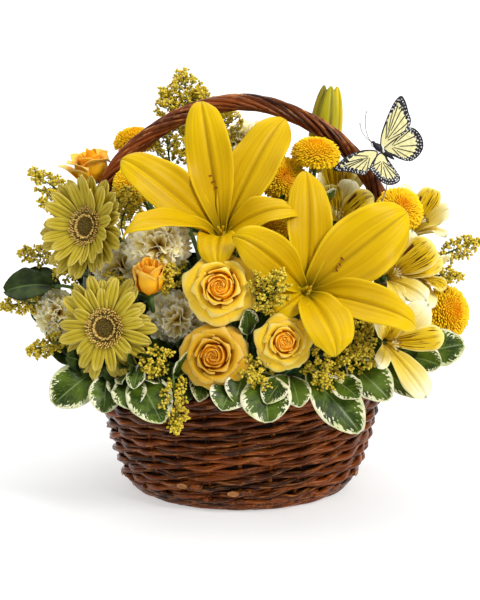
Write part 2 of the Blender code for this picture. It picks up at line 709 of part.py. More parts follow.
def main():
    for obj in list(bpy.data.objects):
        bpy.data.objects.remove(obj, do_unlink=True)
    scene = bpy.context.scene
    collection = bpy.data.collections.new("flower_basket")
    scene.collection.children.link(collection)
    cutters = bpy.data.collections.new("cutters")
    scene.collection.children.link(cutters)
    mats = {
        "wicker": material("wicker", (0.19, 0.072, 0.028), 0.42),
        "handle": material("wicker_handle", (0.21, 0.078, 0.030), 0.40),
        "liner": material("liner", (0.05, 0.09, 0.05), 0.5),
        "foam": material("foam", (0.08, 0.20, 0.10), 0.95),
        "lily": material("lily_petal", (0.88, 0.62, 0.02), 0.5),
        "bud": material("lily_bud", (0.52, 0.56, 0.06), 0.5),
        "gerbera": material("gerbera_petal", (0.74, 0.68, 0.14), 0.55),
        "rose": material("rose_petal", (0.92, 0.58, 0.05), 0.5),
        "pom": material("pom_floret", (0.92, 0.46, 0.01), 0.6),
        "carnation": material("carnation_petal", (0.82, 0.76, 0.50), 0.6),
        "alstroemeria": material("alstroemeria_petal", (0.84, 0.72, 0.12), 0.5),
        "solidago": material("solidago_floret", (0.70, 0.52, 0.02), 0.7),
        "leaf": material("pittosporum_leaf", (0.045, 0.13, 0.035), 0.4),
        "fly_body": material("butterfly_body", (0.01, 0.01, 0.02), 0.5),
        "fly_wing": material("butterfly_wing", (0.85, 0.82, 0.55), 0.5),
        "wire": material("pick_wire", (0.30, 0.32, 0.30), 0.35, 0.9),
    }
    holes = []
    build_basket(mats, collection)
    build_lilies(mats, collection, holes)
    build_gerberas(mats, collection, holes)
    build_roses(mats, collection, holes)
    build_poms(mats, collection, holes)
    build_carnations(mats, collection, holes)
    build_alstroemerias(mats, collection, holes)
    build_fillers(mats, collection, holes)
    build_leaves(mats, collection, holes)
    build_butterfly(mats, collection, holes)
    build_foam(mats, collection, cutters, holes)


main()
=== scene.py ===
"""Looks of the flower basket arrangement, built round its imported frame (metres, +Z up, front -Y)."""

import math

import bpy
import numpy as np
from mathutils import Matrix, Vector


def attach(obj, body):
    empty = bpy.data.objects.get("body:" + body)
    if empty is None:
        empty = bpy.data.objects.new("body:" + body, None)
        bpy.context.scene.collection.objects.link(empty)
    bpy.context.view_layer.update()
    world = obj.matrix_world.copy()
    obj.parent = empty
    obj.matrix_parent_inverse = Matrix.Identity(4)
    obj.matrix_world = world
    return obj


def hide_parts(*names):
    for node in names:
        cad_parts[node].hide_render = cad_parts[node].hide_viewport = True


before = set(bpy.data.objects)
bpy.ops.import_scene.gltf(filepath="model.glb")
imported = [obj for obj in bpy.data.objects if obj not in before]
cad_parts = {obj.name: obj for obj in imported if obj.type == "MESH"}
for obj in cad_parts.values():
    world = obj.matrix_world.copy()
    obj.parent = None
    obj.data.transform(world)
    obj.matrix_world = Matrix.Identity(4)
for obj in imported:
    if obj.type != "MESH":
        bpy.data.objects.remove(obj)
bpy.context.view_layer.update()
MM = 0.001
TAU = 2.0 * math.pi
PHI = math.pi * (3.0 - math.sqrt(5.0))
FOCUS = np.array([0.0, 0.0, 80.0])
UP = np.array([0.0, 0.0, 1.0])
STEM_START, STEM_MID, STEM_STRAIGHT = 35.0, 58.0, 82.0


# ---------------------------------------------------------------- vectors, all lengths in mm
def vec(*p):
    return np.array(p, float)


def unit(a):
    a = np.asarray(a, float)
    return a / np.maximum(np.linalg.norm(a, axis=-1, keepdims=True), 1e-9)


def aim(azimuth, elevation):
    a, e = math.radians(azimuth), math.radians(elevation)
    return vec(math.sin(a) * math.cos(e), -math.cos(a) * math.cos(e), math.sin(e))


def basis(n):
    up = UP if abs(n[2]) < 0.98 else vec(0, 1, 0)
    u = unit(np.cross(up, n))
    return u, np.cross(n, u)


def wheel(n, angle):
    """Directions at the given angles round the axis n."""
    u, v = basis(n)
    angle = np.asarray(angle, float)[..., None]
    return u * np.cos(angle) + v * np.sin(angle)


def circle(r, angle, z):
    """Points round the basket's axis."""
    return np.stack(np.broadcast_arrays(r * np.cos(angle), r * np.sin(angle), z), -1)


def smooth(x):
    x = np.clip(x, 0.0, 1.0)
    return x * x * (3.0 - 2.0 * x)


def bezier(p, steps):
    t = np.linspace(0, 1, steps)[:, None]
    s = 1.0 - t
    return p[0] * s ** 3 + 3 * p[1] * s * s * t + 3 * p[2] * s * t * t + p[3] * t ** 3


def ringed(sides, rings, phase=0.0, tilt=0.0):
    """A small shape of stacked rings, each (height, half width, shift along x, half depth)."""
    p, up, f = [], [], []
    for h, w, out, thick in rings:
        for i in range(sides):
            a = TAU * (i + phase) / sides
            p.append((out + thick * math.cos(a), w * math.sin(a), h + tilt * math.cos(a) * w))
            up.append(min(h, 1.0))
    for k in range(0, (len(rings) - 1) * sides, sides):
        for i in range(sides):
            j = (i + 1) % sides
            f.append((k + i, k + j, k + sides + j, k + sides + i))
    top = (len(rings) - 1) * sides
    f += [(top, top + i, top + i + 1, top + i + 2) for i in range(1, sides - 2, 2)]
    return np.array(p), np.array(f), np.array(up)


# ---------------------------------------------------------------- mesh building
class Bits:
    """Collects the meshes of one piece; each point carries (across, along, kind) for its colour."""

    def __init__(self):
        self.v, self.q, self.qm, self.a, self.n = [], [], [], [], 0

    def add(self, p, q, a, m):
        self.v.append(p.reshape(-1, 3))
        self.a.append(a.reshape(-1, 3))
        self.q.append(q.reshape(-1, 4) + self.n)
        self.qm.append(np.full(q.size // 4, m))
        self.n += p.size // 3

    def grid(self, p, s=None, t=None, r=0.0, m=0, wrap=False):
        nu, nv = p.shape[:2]
        a = np.empty((nu, nv, 3))
        a[..., 0] = np.linspace(-1, 1, nu)[:, None] if s is None else s
        a[..., 1] = np.linspace(0, 1, nv) if t is None else t
        a[..., 2] = r
        i = np.arange(nu * nv).reshape(nu, nv)
        if wrap:
            i = np.vstack([i, i[:1]])
        self.add(p, np.stack([i[:-1, :-1], i[1:, :-1], i[1:, 1:], i[:-1, 1:]], -1), a, m)

    def many(self, shape, x, y, z, at, across, kind, m=0):
        """Copies of a small shape, one for each row of x, y, z (its axes) and at (its place)."""
        proto, faces, up = shape
        c, k = len(at), len(proto)
        p = np.einsum("cij,kj->cki", np.stack([x, y, z], -1), proto) + at[:, None]
        a = np.empty((c, k, 3))
        a[..., 0], a[..., 1], a[..., 2] = np.reshape(across, (-1, 1)), up, kind[:, None]
        self.add(p, faces + (np.arange(c) * k)[:, None, None], a, m)

    def tube(self, line, radius, sides=6, r=0.0, m=0, start=UP, closed=False):
        """A round rod along a line, closed to a point at both ends unless it is a loop."""
        line = np.asarray(line, float)
        k = len(line)
        radius = np.broadcast_to(np.asarray(radius, float), (k,))
        tan = unit(np.roll(line, -1, 0) - np.roll(line, 1, 0) if closed else np.gradient(line, axis=0))
        if abs(start @ tan[0]) > 0.95:
            start = vec(1, 0.2, 0)
        last = unit(start - tan[0] * (start @ tan[0]))
        side = np.empty_like(line)
        for i in range(k):
            last = unit(last - tan[i] * (last @ tan[i]))
            side[i] = last
        other = np.cross(tan, side)
        t = np.linspace(0, 1, k)
        if not closed:
            line, side, other = (np.vstack([g[:1], g, g[-1:]]) for g in (line, side, other))
            radius = np.concatenate([[0], radius, [0]])
            t = np.concatenate([[0], t, [1]])
        a = np.arange(sides) * TAU / sides
        ring = np.cos(a)[:, None, None] * side + np.sin(a)[:, None, None] * other
        p = line + ring * radius[:, None]
        if closed:
            p = np.concatenate([p, p[:, :1]], 1)
            t = np.concatenate([t, [1]])
        self.grid(p, s=np.cos(a)[:, None], t=t, r=r, m=m, wrap=True)

    def twig(self, p, radius, steps=8, m=1):
        self.tube(bezier(p, steps), radius, 5, m=m)

    def build(self, name, mats, nodes, slot, thick=0.0):
        v, q = np.concatenate(self.v) * MM, np.concatenate(self.q)
        mesh = bpy.data.meshes.new(name)
        mesh.vertices.add(len(v))
        mesh.vertices.foreach_set("co", v.astype(np.float32).ravel())
        mesh.loops.add(len(q) * 4)
        mesh.loops.foreach_set("vertex_index", q.astype(np.int32).ravel())
        mesh.polygons.add(len(q))
        mesh.polygons.foreach_set("loop_start", np.arange(len(q), dtype=np.int32) * 4)
        mesh.polygons.foreach_set("loop_total", np.full(len(q), 4, np.int32))
        mesh.polygons.foreach_set("material_index", np.concatenate(self.qm).astype(np.int32))
        mesh.polygons.foreach_set("use_smooth", np.full(len(q), True))
        at = mesh.attributes.new("spot", "FLOAT_VECTOR", "POINT")
        at.data.foreach_set("vector", np.concatenate(self.a).astype(np.float32).ravel())
        for mat in mats:
            mesh.materials.append(mat)
        mesh.update(calc_edges=True)
        mesh.validate()
        obj = bpy.data.objects.new(name, mesh)
        bpy.context.scene.collection.objects.link(obj)
        if thick:
            solid = obj.modifiers.new("skin", "SOLIDIFY")
            solid.thickness = thick * MM
            solid.offset = 0.0
        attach(obj, "root")
        if nodes:
            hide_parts(*nodes)


# ---------------------------------------------------------------- materials
def srgb(r, g, b):
    return tuple(c / 3294.6 if c <= 10.31 else ((c / 255.0 + 0.055) / 1.055) ** 2.4 for c in (r, g, b))


class Nodes:
    """A material whose colour is built up in layers; s, t and r are the across, along and kind."""

    def __init__(self, name, rough=0.5, spec=0.5):
        self.mat = bpy.data.materials.new(name)
        self.mat.use_nodes = True
        self.tree = self.mat.node_tree
        self.bsdf = self.tree.nodes["Principled BSDF"]
        self.set("Roughness", rough)
        self.set("Specular IOR Level", spec)
        spot = self.new("ShaderNodeAttribute")
        spot.attribute_name = "spot"
        self.spot = spot.outputs["Vector"]
        parts = self.new("ShaderNodeSeparateXYZ")
        self.tree.links.new(self.spot, parts.inputs[0])
        self.s, self.t, self.r = parts.outputs
        self.side = self.math("ABSOLUTE", self.s)
        self.where = self.new("ShaderNodeTexCoord").outputs["Object"]

    def new(self, kind):
        return self.tree.nodes.new(kind)

    def put(self, socket, value):
        if isinstance(value, (int, float)):
            socket.default_value = value
        elif isinstance(value, tuple):
            socket.default_value = (*value, 1.0)
        else:
            self.tree.links.new(value, socket)

    def set(self, name, value):
        self.put(self.bsdf.inputs[name], value)

    def math(self, op, *values):
        n = self.new("ShaderNodeMath")
        n.operation = op
        for socket, value in zip(n.inputs, values):
            self.put(socket, value)
        return n.outputs[0]

    def noise(self, scale, detail=3.0, rough=0.5, source=None):
        n = self.new("ShaderNodeTexNoise")
        for name, value in (("Scale", scale), ("Detail", detail), ("Roughness", rough),
                            ("Vector", source or self.where)):
            self.put(n.inputs[name], value)
        return n.outputs["Fac"]

    def grain(self, stretch, detail=3.0, rough=0.5):
        """Noise laid out on the across, along and kind of a petal, leaf or rod."""
        n = self.new("ShaderNodeMapping")
        n.inputs["Scale"].default_value = stretch
        self.put(n.inputs[0], self.spot)
        return self.noise(1.0, detail, rough, n.outputs[0])

    def ramp(self, value, low, high):
        n = self.new("ShaderNodeMapRange")
        n.interpolation_type = "SMOOTHSTEP"
        for name, value in (("Value", value), ("From Min", low), ("From Max", high)):
            self.put(n.inputs[name], value)
        return n.outputs[0]

    def mix(self, fac, a, b, mode="MIX"):
        n = self.new("ShaderNodeMix")
        n.data_type = "RGBA"
        n.blend_type = mode
        n.clamp_factor = True
        for k, value in ((0, fac), (6, a), (7, b)):
            self.put(n.inputs[k], value)
        return n.outputs[2]

    def first(self, mask, low, high):
        self.body = self.mix(mask, srgb(*low), srgb(*high))

    def over(self, mask, colour, amount=None):
        """Lay a colour over the body where the mask is 1."""
        if amount is not None:
            mask = self.math("MULTIPLY", mask, amount)
        self.body = self.mix(mask, self.body, srgb(*colour))

    def done(self, height=None, strength=0.0, distance=0.0, soak=0.0, through=(1.0, 1.0, 1.0)):
        """Finish with bumps and with light soaking through a thin petal."""
        self.set("Base Color", self.body)
        if height:
            n = self.new("ShaderNodeBump")
            for name, value in (("Strength", strength), ("Distance", distance * MM), ("Height", height)):
                self.put(n.inputs[name], value)
            self.set("Normal", n.outputs[0])
        if soak:
            self.set("Subsurface Weight", soak)
            self.bsdf.inputs["Subsurface Radius"].default_value = through
            self.set("Subsurface Scale", 0.0015)
        return self.mat


def spotted(name, colour, second, rough=0.6, spec=0.3, scale=300.0, detail=2.0, low=0.35, high=0.65):
    n = Nodes(name, rough, spec)
    n.first(n.ramp(n.noise(scale, detail), low, high), colour, second)
    return n.done()


def stem_material():
    n = Nodes("stem_green", 0.5, 0.3)
    n.first(n.ramp(n.noise(40.0, 4.0), 0.3, 0.7), (66, 92, 38), (96, 122, 52))
    return n.done(n.grain((9.0, 2.0, 1.0)), 0.3, 0.3)


STEM = stem_material()


# ---------------------------------------------------------------- stems and sheets
def stem(bits, back, normal, radius, m, target=None):
    """Stem out of the foam, straight at first, then bending to the back of its flower head."""
    target = back if target is None else target
    along = unit(target - FOCUS)
    knee = FOCUS + along * STEM_STRAIGHT
    pull = np.linalg.norm(back - knee) / 3.0
    curve = bezier([knee, knee + along * pull, back - normal * pull, back], 12)
    line = np.vstack([FOCUS + along * STEM_START, FOCUS + along * STEM_MID, curve])
    bits.tube(line, radius * (1.0 + 0.05 * np.sin(np.arange(len(line)) * 1.7)), 8, m=m)


def planar_frames(centre, side):
    """Side and normal vectors for a centreline that stays in one plane."""
    sides = np.broadcast_to(side, centre.shape).copy()
    return sides, -unit(np.cross(sides, unit(np.gradient(centre, axis=0))))


def ribbon(centre, sides, normal, width, lift, ns):
    """Sheet of ns points across a centreline, raised by lift, a function of (across, along)."""
    s = np.linspace(-1, 1, ns)[:, None]
    up = lift(s, np.linspace(0, 1, len(centre)))
    return centre + sides * (s * width)[..., None] + normal * up[..., None]


def lily_material():
    n = Nodes("lily_petal", 0.42, 0.10)
    n.first(n.ramp(n.t, 0.04, 0.34), (130, 114, 14), (208, 170, 4))
    n.over(n.ramp(n.t, 0.45, 0.95), (224, 188, 6))
    n.over(n.ramp(n.noise(20.0, 2.0), 0.35, 0.70), (190, 148, 3), 0.45)
    vein = n.grain((10.0, 0.8, 7.0), 3.0, 0.55)
    n.over(n.ramp(vein, 0.45, 0.70), (174, 132, 3), 0.42)
    # Darker olive down the midrib: partly the midrib's own colour, partly painted shade in its groove.
    n.over(n.ramp(n.side, 0.11, 0.0), (150, 118, 8), 0.55)
    # Paler edges: painted highlight where the petal margins catch the light.
    n.over(n.ramp(n.side, 0.84, 1.0), (240, 208, 34), 0.40)
    n.over(n.ramp(n.t, 0.95, 1.0), (150, 140, 40), 0.6)
    return n.done(vein, 0.45, 0.6, 0.10, (1.0, 0.6, 0.1))


LILY = lily_material()
LILY_SPECK = spotted("lily_speck", (110, 40, 20), (150, 70, 25))


# ---------------------------------------------------------------- lilies
def lily_petal(bits, head, n, tip, half, rise, hook, seed, kind, twist=0.0, m=0, back=9.0, peak=0.50):
    local = np.random.default_rng(seed)
    d = tip - head
    h = d @ n
    flat = d - n * h
    rho = np.linalg.norm(flat)
    e = flat / rho
    side = np.cross(n, e)
    p0 = head + e * 2.5 - n * back
    p1 = head + e * (3.0 + 0.10 * rho) + n * rise * 0.55
    p2 = head + e * rho * (0.86 if hook > 0 else 0.70) + n * (h + rise * 0.55 + hook)
    t = np.linspace(0, 1, 30)
    centre = bezier([p0, p1, p2, tip], len(t))
    sides, norm = planar_frames(centre, side)
    if twist:
        a = twist * smooth(t)
        sides, norm = (sides * np.cos(a)[:, None] + norm * np.sin(a)[:, None],
                       norm * np.cos(a)[:, None] - sides * np.sin(a)[:, None])
    if norm[5] @ n < 0:
        norm = -norm
    grow = 0.16 + 0.84 * smooth(t / peak) ** 0.9
    close = np.clip(1.0 - np.clip((t - peak) / (1.0 - peak), 0, 1) ** 1.9, 0, 1) ** 0.78
    width = half * grow * close + 0.05
    ph = local.uniform(0, TAU, 3)

    def lift(s, t):
        w = half * grow[None] * close[None]
        cup = w * (0.42 * (1 - smooth(t * 1.4)) + 0.12) * np.abs(s) ** 1.6
        roll = -w * 0.30 * smooth((t - 0.40) / 0.5) * s ** 4
        groove = -1.9 * np.exp(-(s / 0.09) ** 2) * np.sin(np.pi * np.clip(t * 1.02, 0, 1)) ** 0.6
        ridge = 0.9 * np.exp(-((np.abs(s) - 0.2) / 0.08) ** 2) * np.sin(np.pi * t)
        wave = (0.13 * half * np.sin(TAU * 1.6 * t + ph[0])
                + 0.06 * half * np.sin(TAU * 3.7 * t + ph[1])) * s ** 3
        fine = 0.20 * np.sin(21.0 * s + ph[2]) * np.sin(np.pi * t)
        return cup + roll + groove + ridge + wave * np.sin(np.pi * t) ** 0.5 + fine

    bits.grid(ribbon(centre, sides, norm, width, lift, 23), r=kind, m=m)
    return centre, sides, norm, width


def lily(name, head, n, petals, specks):
    bits = Bits()
    for k, (tip, half, rise, hook, twist) in enumerate(petals):
        shift = -1.2 if k % 2 else 0.8
        got = lily_petal(bits, head + n * shift, n, vec(*tip), half, rise, hook, 40 + k, k / 6.0, twist)
        if k in specks:
            centre, sides, norm, width = got
            for j in range(9):
                i = int(round(specks[k] * 29)) + (j % 3)
                off = (j * 0.37) % 1.0 * 0.26 - 0.13
                p = centre[i] + sides[i] * (width[i] * off) + norm[i] * 0.9
                bits.tube([p - sides[i] * 0.5, p + norm[i] * 0.35, p + sides[i] * 0.6], 0.33, 5, m=2)
    for k in range(3):
        e = wheel(n, TAU * k / 3 + 0.6)
        line = bezier([head - n * 8, head - n * 2 + e * 0.5, head + n * 2 + e * 1.2, head + n * 5
                + e * 2.6], 8)
        bits.tube(line, 0.7, 6, r=0.2, m=0)
    turn = head - n * np.linspace(14, 4, 8)[:, None]
    bits.tube(turn, np.linspace(2.4, 4.2, 8), 14, m=0)
    stem(bits, head - n * 9.5, n, 2.3, 1)
    bits.build(name + "_bloom", [LILY, STEM, LILY_SPECK], [name], "lily", 0.7)


lily("lily_left", vec(-15, -62, 224), aim(-8, 44), (
    ((-31, -33, 324), 18.5, 20, 4, 0.0),
    ((-94, -62, 281), 19.0, 18, 6, -0.12),
    ((37, -22, 308), 21.0, 20, 8, 0.15),
    ((-91, -106, 225), 15.5, 36, 24, 0.70),
    ((-17, -118, 204), 16.0, 22, 12, 0.0),
    ((48, -78, 240), 15.0, 22, 16, -0.3)), {0: 0.33})
lily("lily_right", vec(53, -93, 183), aim(10, 24), (
    ((52, -60, 272), 18.0, 22, 6, 0.0),
    ((132, -74, 241), 27.0, 20, 10, 0.1),
    ((-6, -120, 230), 18.0, 24, 18, -0.35),
    ((136, -126, 159), 17.0, 30, 32, -0.35),
    ((73, -148, 142), 19.5, 22, 24, 0.0),
    ((24, -116, 166), 12.5, 22, 12, 0.5)), {1: 0.30})


# ---------------------------------------------------------------- lily bud
def bud_material(name, low, high, groove):
    n = Nodes(name, 0.42, 0.2)
    n.first(n.ramp(n.t, 0.0, 0.8), low, high)
    n.over(n.ramp(n.s, 0.60, 0.05), groove)
    patch = n.grain((6.0, 3.0, 1.0))
    n.over(n.ramp(patch, 0.4, 0.7), (206, 186, 24), 0.4)
    return n.done(patch, 0.3, 0.4)


# Three copies of one bud skin: lily_bud_shade is painted shade for the tepal on the shaded side,
# lily_bud_sun is painted light for the lit one.
BUD = bud_material("lily_bud_skin", (196, 178, 10), (162, 154, 14), (112, 104, 10))
BUD_SHADE = bud_material("lily_bud_shade", (150, 128, 10), (118, 106, 12), (76, 66, 8))
BUD_SUN = bud_material("lily_bud_sun", (226, 198, 8), (208, 186, 14), (160, 142, 10))


def spindle(bits, base, tip, radius, ribs, depth, m, seed=0.0, count=48, steps=26, blunt=0.30):
    axis = tip - base
    length = np.linalg.norm(axis)
    axis = axis / length
    u, v = basis(axis)
    t = np.linspace(0, 1, steps)
    prof = radius * np.sin(np.pi * np.clip(t * 0.92 + 0.06, 0, 1)) ** 0.62
    prof = np.maximum(prof, radius * 0.05)
    prof[-4:] *= np.array([1.0, 0.92, 0.72, 0.2]) ** blunt
    a = np.linspace(0, TAU, count, endpoint=False)
    wave = np.abs(np.cos(a * ribs / 2.0 + seed))
    r = prof[None] * (1.0 - depth * (1 - wave[:, None]) ** 2)
    p = base + axis * (length * t)[None, :, None] + (
        u * np.cos(a)[:, None, None] + v * np.sin(a)[:, None, None]) * r[..., None]
    bits.grid(p, s=wave[:, None], t=t[None], m=m, wrap=True)


bits = Bits()
# The left tepal wears the painted shade copy and the right tepal the painted light copy.
spindle(bits, vec(61, 28, 258), vec(70, 40, 329), 8.5, 4, 0.20, 2, 0.3)
spindle(bits, vec(67, 22, 258), vec(75.5, 33, 329), 9.5, 4, 0.22, 0, 0.9)
spindle(bits, vec(73, 30, 258), vec(81, 39, 328), 8.0, 4, 0.20, 3, 0.1)
stem(bits, vec(68, 27, 263), unit(vec(0.1, 0.15, 1)), 2.0, 1)
bits.tube([vec(62, 24, 240), vec(58, 28, 255), vec(60, 32, 269)], 1.5, 7, m=1)
bits.build("lily_bud_skin", [BUD, STEM, BUD_SHADE, BUD_SUN], ["lily_bud"], "bud")


# ---------------------------------------------------------------- gerberas
def gerbera_material():
    n = Nodes("gerbera_petal", 0.5, 0.14)
    # Darker olive petal feet: partly the petal's own colour, partly painted shade round the disc.
    n.first(n.ramp(n.t, 0.0, 0.55), (112, 90, 10), (190, 170, 44))
    n.over(n.ramp(n.t, 0.70, 1.0), (214, 194, 88))
    # Dark lines where the ribs dip: painted shade in the grooves between the ribs.
    line = n.math("ABSOLUTE", n.math("SUBTRACT", n.side, 0.36))
    n.over(n.ramp(line, 0.15, 0.0), (136, 110, 16), 0.65)
    vein = n.grain((8.0, 1.2, 23.0), 4.0, 0.6)
    n.over(n.ramp(vein, 0.45, 0.7), (160, 132, 24), 0.40)
    # Paler edges: partly a paler margin, partly painted highlight.
    n.over(n.ramp(n.side, 0.82, 1.0), (232, 212, 116), 0.6)
    return n.done(vein, 0.45, 0.5, 0.08, (1.0, 0.8, 0.3))


def tuft_material(name, low, high):
    """Florets of the seed head: dark at the foot, pale at the top."""
    n = Nodes(name, 0.6, 0.25)
    n.first(n.ramp(n.t, 0.25, 0.95), low, high)
    n.over(n.r, low, 0.35)
    return n.done()


GERBERA = gerbera_material()
GERBERA_RING = tuft_material("gerbera_ring", (136, 96, 30), (236, 202, 112))
GERBERA_HEART = tuft_material("gerbera_heart", (58, 44, 12), (122, 100, 38))


def gerbera_petal(bits, head, n, angle, r0, reach, half, droop, up, seed):
    local = np.random.default_rng(seed)
    e = wheel(n, angle)
    side = np.cross(n, e)
    t = np.linspace(0, 1, 16)
    rho = r0 + (reach - r0) * t
    centre = head + e * rho[:, None] + n * (up * np.sin(np.pi * t * 0.75) - droop * t ** 2)[:, None]
    sides, norm = planar_frames(centre, side)
    if norm[5] @ n < 0:
        norm = -norm
    close = np.sqrt(np.clip(1 - np.clip((t - 0.62) / 0.38, 0, 1) ** 2.2, 0, 1))
    width = half * (0.40 + 0.60 * smooth(t / 0.55)) * close + 0.05
    ph = local.uniform(0, TAU)
    tilt = local.uniform(-0.18, 0.18)

    def lift(s, t):
        ribs = 0.55 * np.cos(s * 8.6) * np.sin(np.pi * t) ** 0.4
        cup = half * 0.22 * s ** 2 * (1 - 0.6 * t)
        return ribs + cup + tilt * half * s + 0.35 * np.sin(7 * t + ph) * s

    p = ribbon(centre, sides, norm, width, lift, 11)
    notch = (0.55 * np.abs(np.cos(np.linspace(-1, 1, 11) * 4.2)) ** 0.7)[:, None]
    p += (e * 1.6)[None, None] * (notch * smooth((t - 0.72) / 0.28)[None])[..., None]
    bits.grid(p, r=local.uniform(), m=0)


BUMP = ringed(6, [(h, r, 0.0, r) for h, r in ((0.0, 0.70), (0.45, 1.0), (0.82, 0.72), (1.0, 0.10))])


def bumps(bits, head, n, count, r0, r1, size, height, m, seed, dome):
    """Small upright florets filling a ring or disc in a seed-head pattern."""
    local = np.random.default_rng(seed)
    k = np.arange(count) + 0.5
    rho = np.sqrt(r0 ** 2 + (r1 ** 2 - r0 ** 2) * k / count)[:, None]
    e = wheel(n, k * PHI)
    axis = unit(n + e * 0.55 * (rho / r1) + local.normal(0, 0.10, (count, 3)))
    w = unit(np.cross(axis, e + vec(0.01, 0.02, 0.03)))
    sz = size * local.uniform(0.8, 1.2, (count, 1))
    tall = height * local.uniform(0.8, 1.2, (count, 1))
    at = head + e * rho + n * dome * (1 - (rho / r1) ** 2)
    bits.many(BUMP, w * sz, np.cross(axis, w) * sz, axis * tall, at, rho / r1,
              local.uniform(0, 1, count), m)


def gerbera(name, head, n, radius, seed, target=None, cup=0.0):
    bits = Bits()
    local = np.random.default_rng(seed)
    for count, ahead, turn, sway, near, far, half, low, high, up in (
            (22, -1.6, 0.0, 0.09, 0.90, 1.06, 0.136, 0.5, 5.0, 2.5),
            (17, 0.6, 0.5, 0.10, 0.70, 0.98, 0.118, -1.5, 3.0, 3.5)):
        for k in range(count):
            a = TAU * (k + turn) / count + local.uniform(-sway, sway)
            reach = radius * local.uniform(near, far)
            gerbera_petal(bits, head + n * ahead, n, a, radius * 0.19, reach, radius * half,
                          local.uniform(low, high) - cup, up, seed * 100 + k + (50 if turn else 0))
    for ahead, count, r0, r1, size, height, m, shift, dome in (
            (2.0, 130, 0.25, 0.355, 0.50, 3.8, 1, 1, 0.1), (2.2, 90, 0.20, 0.25, 0.55, 3.0, 2, 2, 0.1),
            (2.4, 60, 0.175, 0.20, 0.50, 3.4, 1, 4, 0.1), (1.0, 180, 0.0, 0.175, 0.50, 2.6, 2, 3, 1.6)):
        bumps(bits, head + n * ahead, n, count, radius * r0, radius * r1, size, height, m, seed + shift,
                dome)
    bits.tube(head - n * np.linspace(10, 1, 8)[:, None], np.linspace(2.4, radius * 0.26, 8), 18, m=3)
    stem(bits, head - n * 9.0, n, 2.2, 3, target)
    bits.build(name + "_bloom", [GERBERA, GERBERA_RING, GERBERA_HEART, STEM], [name], "gerbera", 0.45)


gerbera("gerbera_upper", vec(-121, -58, 227), aim(-36, 14), 42.0, 3, vec(-96, -50, 226), 11.0)
gerbera("gerbera_lower", vec(-105, -99, 154), aim(-20, 8), 41.0, 5)


# ---------------------------------------------------------------- roses
def rose_material(name="rose_petal", shade=None):
    n = Nodes(name, 0.46, 0.15)
    n.first(n.ramp(n.r, 0.10, 0.70), (252, 180, 24), (240, 196, 44))
    n.over(n.ramp(n.t, 0.60, 0.15), (236, 146, 12))
    rim = n.math("MULTIPLY", n.ramp(n.t, 0.64, 0.88), n.ramp(n.r, -0.1, 0.8))
    n.over(rim, (253, 232, 140), 0.85)
    far = n.math("MULTIPLY", n.ramp(n.side, 0.70, 1.0), n.ramp(n.t, 0.5, 0.9))
    n.over(far, (252, 232, 156), 0.5)
    vein = n.grain((7.0, 1.6, 19.0), 3.0, 0.55)
    n.over(n.ramp(vein, 0.45, 0.75), (230, 164, 26), 0.25)
    if shade:
        n.body = n.mix(1.0, n.body, srgb(*shade), "MULTIPLY")
    return n.done(vein, 0.25, 0.4, 0.16, (1.0, 0.6, 0.15))


ROSE = rose_material()
# A darker copy of the petal colour for the low front rose: painted shade.
ROSE_SHADE = rose_material("rose_petal_shaded", (228, 216, 204))


# Petals in a ring, half spread, body, rim radius, rim height, lip, place in the colour run
ROSE_RINGS = ((3, 2.1, 0.09, 0.08, 0.47, 0.00, 0.0), (3, 1.55, 0.19, 0.17, 0.48, 0.01, 0.12),
              (3, 1.30, 0.29, 0.30, 0.44, 0.03, 0.28), (4, 1.05, 0.40, 0.46, 0.36, 0.08, 0.48),
              (5, 0.86, 0.50, 0.70, 0.20, 0.15, 0.75), (5, 0.80, 0.57, 0.93, -0.06, 0.20, 1.0))


def rose_petal(bits, head, n, angle, spread, rho, high, seed, kind, radius):
    """One petal as a curved sheet round the axis: rho and high give the side outline."""
    local = np.random.default_rng(seed)
    s = np.linspace(-1, 1, 25)[:, None]
    t = np.linspace(0, 1, 22)[None, :]
    ph = local.uniform(0, TAU, 3)
    knots = np.linspace(0, 1, len(rho))
    fine = np.linspace(0, 1, 60)
    soft = [np.convolve(np.pad(np.interp(fine, knots, q), 4, "edge"), np.ones(9) / 9,
            "valid") for q in (rho, high)]
    reach = np.interp(t[0], fine, soft[0])[None]
    h = np.interp(t[0], fine, soft[1])[None]
    late = smooth((t - 0.55) / 0.45)
    reach = reach + radius * (0.045 * s * (0.4 + t) + 0.034 * np.sin(5 * s + ph[0]) * late * (0.5 + kind))
    wide = spread * (0.42 + 0.58 * smooth(t / 0.5)) * (1 - 0.16 * smooth((t - 0.8) / 0.2))
    side = np.abs(s)
    h = h - radius * kind * late * (0.26 * side ** 2.4) + radius * 0.035 * np.sin(3.5 * s
            + ph[1]) * late * kind
    reach = reach - radius * kind * late * (0.10 * side ** 3) + radius * kind * 0.11 * late ** 3 * np.exp(-(s / 0.20) ** 2)
    h = h - radius * kind * 0.05 * late ** 4 * np.exp(-(s / 0.22) ** 2)
    h = h + radius * 0.02 * np.sin(9 * s + ph[2]) * late
    a = angle + s * wide
    e = wheel(n, a)
    p = head + e * reach[..., None] + n * h[..., None]
    bits.grid(p, r=kind, m=0)


